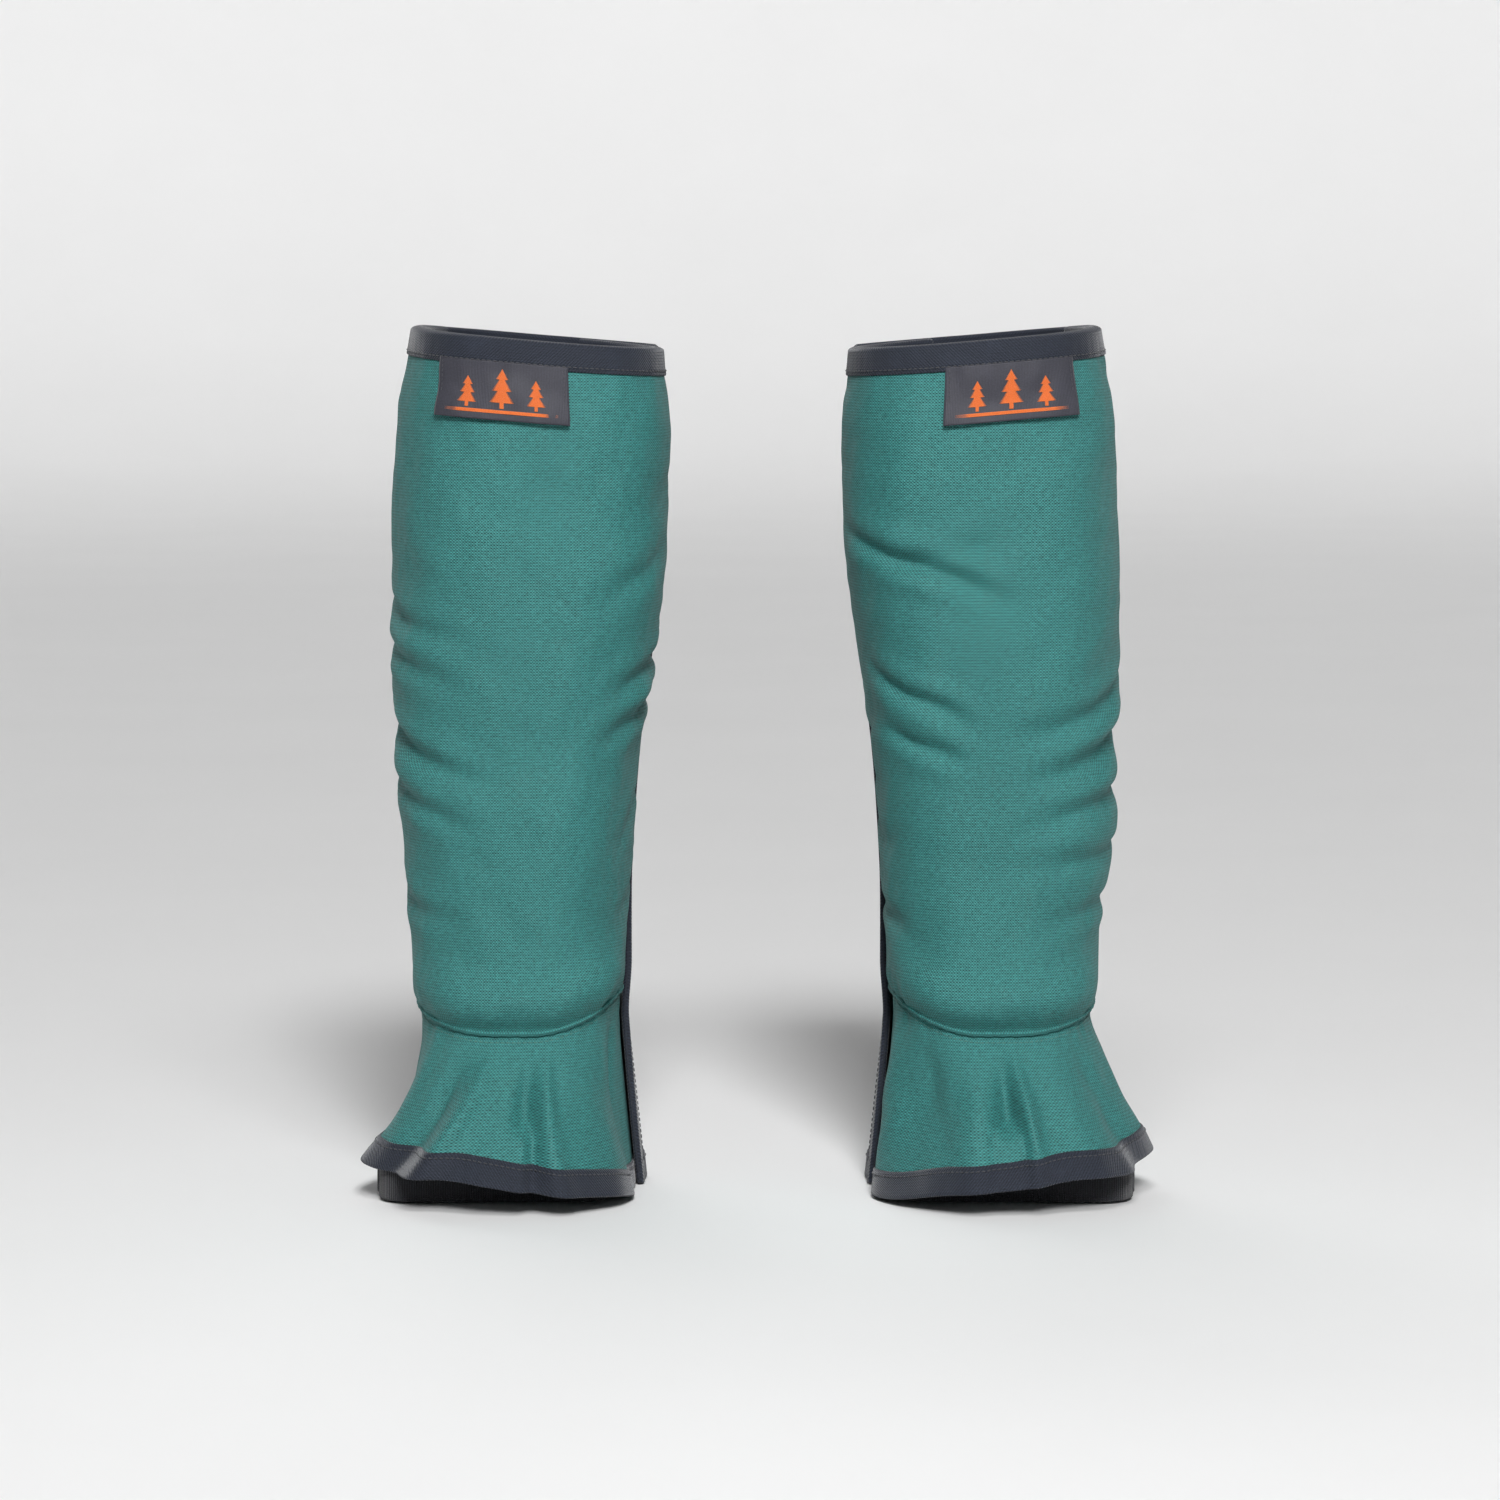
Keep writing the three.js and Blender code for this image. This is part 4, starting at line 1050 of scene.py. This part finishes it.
def label_pieces(leg):
    side, body = leg.name, f"{leg.name}_front"
    u = np.linspace(-0.5, 0.5, 70)[None, :] * LABEL_WIDTH
    v = np.linspace(-0.5, 0.5, 36)[:, None] * LABEL_HEIGHT
    u, v = np.broadcast_arrays(u, v)
    outer, inner = label_point(leg, u, v, LABEL_THICK), label_point(leg, u, v, 0.0)
    label = thick_sheet(f"{side}_label_cloth", leg, outer, inner, np.stack([u, v], axis=-1))
    dress(label, "label_cloth", body, f"{side}_woven_label")

    # A plain motif of its own: three fir trees over a ground line, in satin stitch.
    bars = []
    for x, size in ((-18.0, 8.2), (0.0, 10.6), (18.0, 8.2)):
        bars += satin_bars(fir(x, size - 9.4, size))
    bars += [(-29.0, 29.0, y) for y in (-10.6, -11.2, -11.8)]
    points, faces, cloth = [], [], []
    around, rings = 6, 9
    turns = np.linspace(0, 2 * math.pi, around, endpoint=False)
    for x0, x1, y in bars:
        xs = np.linspace(x0, x1, rings)
        fat = np.sqrt(np.maximum(0, 1 - np.abs(np.linspace(-1, 1, rings)) ** 6)) * 0.9 + 0.1
        base = len(points) * around * rings
        ring = []
        for t in turns:
            lift = LABEL_THICK + 0.12 + 0.3 * fat * math.sin(t)
            ring.append(label_point(leg, xs, y + 0.33 * fat * math.cos(t), lift))
        points.append(np.stack(ring, axis=1).reshape(-1, 3))
        i = np.arange(rings * around).reshape(rings, around) + base
        j = np.roll(i, -1, axis=1)
        faces.append(np.stack([i[:-1], j[:-1], j[1:], i[1:]], axis=-1).reshape(-1, 4))
        for end in (i[0, ::-1], i[-1]):
            faces.append(np.array([[end[0], end[1], end[2], end[3]], [end[0], end[3], end[4], end[5]]]))
        cloth.append(np.stack([np.repeat(xs, around), np.tile(turns, rings)], axis=-1))
    places = in_row_frame(leg, np.concatenate(points))
    motif = mesh_object(f"{side}_label_motif", places, np.concatenate(faces), np.concatenate(cloth))
    dress(motif, "label_cloth", body, material=THREADS["orange"])

    half_x, half_y = LABEL_WIDTH / 2 - 2.2, LABEL_HEIGHT / 2 - 1.2
    lines = []
    for x in (-half_x, half_x):
        ys = np.linspace(-half_y * 0.2, half_y, 40)
        here = label_point(leg, x + 0 * ys, ys, LABEL_THICK)
        lines.append((here, label_point(leg, x + 0 * ys, ys, LABEL_THICK + 1) - here))
    sizes = {"pitch": 2.4, "length": 1.7, "width": 0.22, "height": 0.18}
    sew("label_stitches", leg, "label_cloth", "black", body, lines, **sizes)


# ---------------------------------------------------------------- back flap


FLAP_SIDE = 360 + SEAM_ANGLE + 0.6
HINGE_TURN = math.radians(SEAM_ANGLE)


def bend_at_seam(leg, piece):
    """Takes the piece off its parent and bakes its place into its mesh. Points 0.5 mm and 10.5 mm behind
    the lateral seam are worked out but not used.
    """
    seam = np.array([*[float(c) for c in outline(SEAM_ANGLE, 240.0)], 240.0])
    way = np.array([math.sin(HINGE_TURN), math.cos(HINGE_TURN), 0.0])
    start, end = in_row_frame(leg, seam + way * 0.5), in_row_frame(leg, seam + way * 10.5)
    piece.parent = None
    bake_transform(piece)


def flap_pieces(leg):
    side = leg.name

    def start(z):
        return flap_edge(z)

    def end(z):
        return np.full_like(z, FLAP_SIDE)

    def bottom(angle):
        return 0 * angle + TAPE_THICK + GAP

    def outside(angle, z):
        return flap_inside(angle, z) + PANEL_THICK + leg.flap(angle, z)

    def inside(angle, z):
        return outside(angle, z) - PANEL_THICK

    angle, z = leg_grid(start, end, bottom, panel_top, *BACK_GRID)
    panel = leg_sheet(f"{side}_back_cloth", leg, angle, z, outside(angle, z), inside(angle, z))
    dress(panel, "black_fabric", None, f"{side}_back_panel")
    bend_at_seam(leg, panel)

    down = np.linspace(FLAP_SIDE, flap_edge(0.0) + 1.5, 110)
    hem = edge_path(down, bottom(down), 0, 1)
    corner_z = TAPE_THICK + GAP + 1
    corner = edge_path(flap_edge(0.0), corner_z, np.sin(CORNER), np.cos(CORNER))
    top_z = float(panel_top(flap_edge(TOP_HEIGHT)))
    heights = np.linspace(corner_z + 2, top_z - 2.5, 220)
    edge = edge_path(flap_edge(heights), heights, 1, 0)
    top_corner = edge_path(flap_edge(top_z), top_z - 1, np.cos(CORNER), -np.sin(CORNER))
    up = down[::-1] + (flap_edge(top_z) - flap_edge(0.0)) * np.linspace(1, 0, len(down))
    rim = edge_path(up, panel_top(up), 0, -1)
    path = np.concatenate([hem, corner, edge, top_corner, rim])
    tape = folded_tape(f"{side}_flap_tape", leg, path, outside, inside)
    dress(tape, "black_tape", None, f"{side}_flap_binding")
    bend_at_seam(leg, tape)

    def line(angle, z):
        return surface_line(angle, z, outside(angle, z) + TAPE_THICK + THREAD_LIFT)

    reach = TAPE_LEG - STITCH_INSET
    edge_z = np.linspace(reach, top_z - reach, 300)
    edge_angle = flap_edge(edge_z) + reach * degrees_per_mm(flap_edge(edge_z), edge_z)
    rim_angle = np.linspace(edge_angle[-1], FLAP_SIDE - 6, 200)
    hem_angle = np.linspace(edge_angle[0], FLAP_SIDE - 6, 200)
    lines = [line(edge_angle, edge_z), line(rim_angle, panel_top(rim_angle) - reach)]
    lines.append(line(hem_angle, bottom(hem_angle) + reach))
    bend_at_seam(leg, sew("flap_stitches", leg, "black_tape", "black", None, lines))

    # A flat tape covers the lateral seam, sewn down along both its edges.
    def over_seam(angle, z):
        front = np.maximum(leg.front(np.maximum(angle, SEAM_ANGLE), z), 0)
        return front * smooth(angle, SEAM_ANGLE, SEAM_ANGLE + 3) + TAPE_THICK * SEAM_TAPE_LIFT

    heights = np.linspace(2.0, float(panel_top(SEAM_ANGLE)) - 1, 220)[:, None]
    across = np.linspace(-1, 1, 15)[None, :]
    seam_angle = SEAM_ANGLE + 5.6 * across + 0 * heights
    heights = heights + 0 * across
    lies = over_seam(seam_angle, heights)
    hump = 0.5 * (1 - across**4)
    cloth = np.stack([heights, seam_angle * MM_PER_DEGREE], axis=-1)
    outer = on_leg(seam_angle, heights, lies + hump + 0.4)
    inner = on_leg(seam_angle, heights, lies - 0.9)
    strip = thick_sheet(f"{side}_side_seam_tape", leg, outer, inner, cloth)
    dress(strip, "black_tape", None)
    bend_at_seam(leg, strip)

    rows = []
    for turn_by in (-4.4, 4.4):
        z = np.linspace(4, float(panel_top(SEAM_ANGLE)) - 4, 300)
        a = SEAM_ANGLE + turn_by + 0 * z
        rows.append(surface_line(a, z, over_seam(a, z) + 0.65))
    bend_at_seam(leg, sew("side_seam_stitches", leg, "black_tape", "black", None, rows))
    return outside


CLOSURE_FROM, CLOSURE_TO = 14.5, 33.5  # in from the flap's edge
CLOSURE_FOOT, CLOSURE_HEAD = 124, 436
CLOSURE_GRID = (40, 300)


def closure_tape(name, leg, offset, body, node, bristly):
    """Hook or loop tape along the margin that the flap covers."""

    def start(z):
        return from_flap_edge(z, CLOSURE_FROM)

    def end(z):
        return from_flap_edge(z, CLOSURE_TO)

    def foot(angle):
        return 0 * angle + CLOSURE_FOOT

    def head(angle):
        return 0 * angle + CLOSURE_HEAD

    angle, z = leg_grid(start, end, foot, head, *CLOSURE_GRID)
    rng = np.random.default_rng(5)
    tufts = rng.uniform(-0.16, 0.16, angle.shape)
    across = np.linspace(0, 1, CLOSURE_GRID[0] + 1)
    edge = np.minimum(across, across[::-1])[None, :]
    thin = 0.35 * (1 - smooth(edge, 0, 0.05))
    if bristly:
        outer, inner = offset + HOOK_LOOP + 0 * z, offset - (tufts - thin)
    else:
        outer, inner = offset + HOOK_LOOP + (tufts - thin), offset + 0 * z
    tape = leg_sheet(name, leg, angle, z, outer, inner)
    dress(tape, "hook_and_loop", body, node)


# ---------------------------------------------------------------- webbing and buckles


WEB_WIDTH, WEB_THICK = 20.0, 1.5
# Angles over which a fixed web and an adjusting web are sewn to the flap.
FIXED_SEWN, SPAN_SEWN = (304.5, 312.5), (220.5, 228)
BOX_WIDTH = 15.0
BOX_THREAD = {"pitch": 2.6, "length": 1.9}


def webbing(name, leg, line, z):
    """Flat webbing on edge along a plan line of points, with rounded sides."""
    line = respaced(np.asarray(line, float), 0.9)
    out = plan_ways(line)
    s = along(line)
    half, round_by = WEB_WIDTH / 2, WEB_THICK / 2
    section = [(a, round_by) for a in np.linspace(-half + 0.8, half - 0.8, 11)]
    section += [(half - 0.8 + 0.8 * math.cos(t), round_by * math.sin(t)) for t in (0.8, 0.0, -0.8)]
    section += [(a, -b) for a, b in section[:11][::-1]]
    section += [(-half + 0.8 - 0.8 * math.cos(t), -round_by * math.sin(t)) for t in (0.8, 0.0, -0.8)]
    rings, cloth = [], []
    for a, b in section:
        ribbed = b + 0.07 * np.sin(s * 3.6) * np.sign(b)
        plan = line + out * ribbed[:, None]
        rings.append(np.concatenate([plan, np.full((len(line), 1), z + a)], axis=1))
        cloth.append(np.stack([s, np.full_like(s, a)], axis=-1))
    return swept(name, leg, np.stack(rings, axis=1), np.stack(cloth, axis=1))


def smooth_line(points, rounds=3):
    """A line with its corners cut again and again, ends kept."""
    points = np.asarray(points, float)
    for _ in range(rounds):
        near, far = points[:-1] * 0.75 + points[1:] * 0.25, points[:-1] * 0.25 + points[1:] * 0.75
        points = np.concatenate([points[:1], np.stack([near, far], axis=1).reshape(-1, 2), points[-1:]])
    return points


def plan_ways(line):
    """The level direction square to a plan line at each of its points."""
    way = np.gradient(line, axis=0)
    way /= np.linalg.norm(way, axis=1)[:, None]
    return np.stack([way[:, 1], -way[:, 0]], axis=1)


def box_stitch(line, z):
    """A sewn box with a cross in it over the line's whole length, as lines for stitches()."""
    out = -plan_ways(line)
    up = np.concatenate([out, np.zeros((len(line), 1))], axis=1)
    lines = []
    t = np.linspace(0, 1, len(line))
    for heights in (0 * t - 1, 0 * t + 1, 2 * t - 1, 1 - 2 * t):
        at = np.concatenate([line + out, (z + heights * BOX_WIDTH / 2)[:, None]], axis=1)
        lines.append((at, up))
    for end in (0, -1):
        across = np.linspace(-1, 1, 12)[:, None] * BOX_WIDTH / 2
        at = np.concatenate([np.tile(line[end] + out[end], (12, 1)), z + across], axis=1)
        lines.append((at, np.tile(up[end], (12, 1))))
    return lines


def softened(name, node, width):
    """A copy of a CAD node with its edges rounded."""
    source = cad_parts[node]
    copy = place(name, source.data.copy())
    copy.data.materials.clear()
    weld = copy.modifiers.new("weld", "WELD")
    weld.merge_threshold = 1e-6
    bevel = copy.modifiers.new("bevel", "BEVEL")
    bevel.width, bevel.segments, bevel.limit_method = width, 3, "ANGLE"
    bevel.angle_limit = math.radians(28)
    depsgraph = bpy.context.evaluated_depsgraph_get()
    made = bpy.data.meshes.new_from_object(copy.evaluated_get(depsgraph))
    copy.modifiers.clear()
    copy.data = made
    for polygon in made.polygons:
        polygon.use_smooth = True
    made.set_sharp_from_angle(angle=math.radians(35))
    return copy


def strap_pieces(leg, outside):
    side = leg.name
    flap_thread = ("black_webbing", "black", f"{side}_flap")
    for level, z in STRAP_HEIGHTS.items():
        socket, plug = f"{side}_{level}_buckle_socket", f"{side}_{level}_buckle_plug"
        low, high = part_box(f"left_{level}_buckle_socket")
        plug_low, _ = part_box(f"left_{level}_buckle_plug")
        middle = (low.y + high.y) * 500 - AXIS_Y
        bar = high.x * 1000 - STANCE
        plug_end = plug_low.x * 1000 - STANCE
        dress(softened(f"{socket}_round", socket, 0.00055), "buckle_plastic", f"{side}_flap", socket)
        plug_body = f"{side}_{level}_plug"
        dress(softened(f"{plug}_round", plug, 0.00045), "buckle_plastic", plug_body, plug)

        def face(angles):
            """Plan points of the flap's outer face, half a webbing out."""
            heights = np.full_like(angles, z)
            lifted = np.max([outside(angles, heights + d) for d in (-9, 0, 9)], axis=0)
            return on_leg(angles, heights, lifted + 1.0)[:, :2]

        # The fixed web: along the flap, round the socket's bar and back over itself.
        flat = face(np.linspace(313.5, 302, 12))
        rise = [(bar + 5, middle - 5.4), (bar - 1, middle - 5.4), (bar - 5, middle - 4.6)]
        back = [(bar - 5, middle + 4.6), (bar - 1, middle + 5.3), (bar + 4, middle + 4.9)]
        over = face(np.linspace(304, 309.5, 6)) + np.array([0.6, 1.5])
        fixed = smooth_line(np.concatenate([flat, rise, back, over]))
        web = webbing(f"{side}_{level}_fixed_web", leg, fixed, z)
        dress(web, "black_webbing", f"{side}_flap", f"{side}_{level}_strap_fixed")
        box = box_stitch(face(np.linspace(*FIXED_SEWN, 14)), z)
        sewn = [(line + up * 1.4, up) for line, up in box]
        sew(f"{level}_fixed_stitches", leg, *flap_thread, sewn, **BOX_THREAD)

        # The adjusting web: a span from its anchor on the flap to the plug, then a loop through the plug
        # with a free tail.
        join = (plug_end - 3.0, middle - 3.4)
        anchor = face(np.linspace(219.5, 236, 18))
        span = smooth_line(np.concatenate([anchor, [join]]))
        span_web = webbing(f"{side}_{level}_span_web", leg, span, z)
        dress(span_web, "black_webbing", f"{side}_flap", f"{side}_{level}_strap_adjust")
        fixed_x = float(anchor[4][0])
        start = in_row_frame(leg, np.array([fixed_x, 0, z]))
        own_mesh(span_web)

        slot = plug_end + 11.0
        loop = [join, (plug_end + 3, middle - 3.6), (slot - 1, middle - 3.4), (slot, middle - 1.5)]
        loop += [(slot, middle + 1.5), (slot - 1.5, middle + 3.2), (plug_end + 2, middle + 3.4)]
        tail = face(np.linspace(252, 231, 16))
        stand = np.linspace(1.0, 0.0, 16)[:, None] * np.array([0.0, 2.0]) + np.array([0.0, 3.4])
        clear = tail[:, 0] < plug_end - 5
        loop_line = smooth_line(np.concatenate([loop, (tail + stand)[clear]]))
        loop_web = webbing(f"{side}_{level}_loop_web", leg, loop_line, z)
        dress(loop_web, "black_webbing", plug_body)

        sewn = box_stitch(face(np.linspace(*SPAN_SEWN, 14)), z)
        sew(f"{level}_anchor_stitches", leg, *flap_thread, sewn, **BOX_THREAD)


UNDERFOOT_BEND = 18.0


def underfoot_pieces(leg):
    side, body = leg.name, f"{leg.name}_underfoot"
    low, high = (np.array(c) * 1000 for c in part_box("left_underfoot_strap"))
    left, right = low[0] - STANCE + 1, high[0] - STANCE - 1
    front, back = low[1] - AXIS_Y + 1, high[1] - AXIS_Y
    z = (low[2] + high[2]) / 2
    turns = np.radians(np.linspace(0, 90, 9))
    short, long = UNDERFOOT_BEND * (1 - np.cos(turns)), UNDERFOOT_BEND * (1 - np.sin(turns))
    points = [(left, back), *zip(left + short, front + long), *zip(right - long, front + short)]
    buckle_low, buckle_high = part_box("left_underfoot_buckle")
    near, far = buckle_low.y * 1000 - AXIS_Y, buckle_high.y * 1000 - AXIS_Y
    threaded = [(right, near - 2), (right - 1.9, near + 4), (right + 1.9, near + 7.5)]
    threaded += [(right + 1.9, near + 10), (right - 1.9, far - 5), (right - 2.1, far - 1)]
    threaded.append((right - 2.2, far + 12))
    strap = webbing(f"{side}_underfoot_web", leg, smooth_line(points + threaded, 2), z)
    dress(strap, "black_webbing", body, f"{side}_underfoot_strap")
    tab_line = [(right, back), (right + 0.2, far + 4), (right + 2.0, far - 2), (right + 0.2, far - 4)]
    tab = webbing(f"{side}_underfoot_tab_web", leg, smooth_line(tab_line, 2), z)
    dress(tab, "black_webbing", body, f"{side}_underfoot_tab")
    buckle = f"{side}_underfoot_buckle"
    dress(softened(f"{buckle}_round", buckle, 0.0005), "buckle_plastic", body, buckle)


HOOK_TAB_WIDTH, HOOK_TAB_THICK = 12.0, 1.7


def hook_pieces(leg):
    side = leg.name
    hook = f"{side}_lace_hook"
    dress(softened(f"{hook}_round", hook, 0.0004), "hook_steel", hook, hook)
    low, high = (np.array(c) * 1000 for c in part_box("left_hook_tab"))
    v = np.linspace(0, 1, 24)[:, None]
    u = np.linspace(-HOOK_TAB_WIDTH / 2, HOOK_TAB_WIDTH / 2, 14)[None, :]
    height = low[2] + (high[2] - low[2]) * v + 0 * u
    angle = 90 + u * degrees_per_mm(90.0, height)
    lies = leg.cover(angle, height) - COVER_THICK - 0.5
    lies = np.minimum(lies, -COVER_THICK - 0.5) - 1.4 * bell(v, 0.08, 0.12)
    outer, inner = on_leg(angle, height, lies), on_leg(angle, height, lies - HOOK_TAB_THICK)
    cloth = np.stack([u + 0 * v, height], axis=-1)
    tab = thick_sheet(f"{side}_hook_tab_tape", leg, outer, inner, cloth)
    dress(tab, "black_tape", f"{side}_front", f"{side}_hook_tab")


for leg in LEGS:
    front_pieces(leg)
    label_pieces(leg)
    face = flap_pieces(leg)
    loop_node, hook_node = f"{leg.name}_loop_tape", f"{leg.name}_hook_tape"
    closure_tape(f"{leg.name}_loop_mat", leg, CLOSURE_GAP, f"{leg.name}_front", loop_node, False)
    lifted = 2 * CLOSURE_GAP + HOOK_LOOP
    closure_tape(f"{leg.name}_hook_mat", leg, lifted, f"{leg.name}_flap", hook_node, True)
    strap_pieces(leg, face)
    underfoot_pieces(leg)
    hook_pieces(leg)
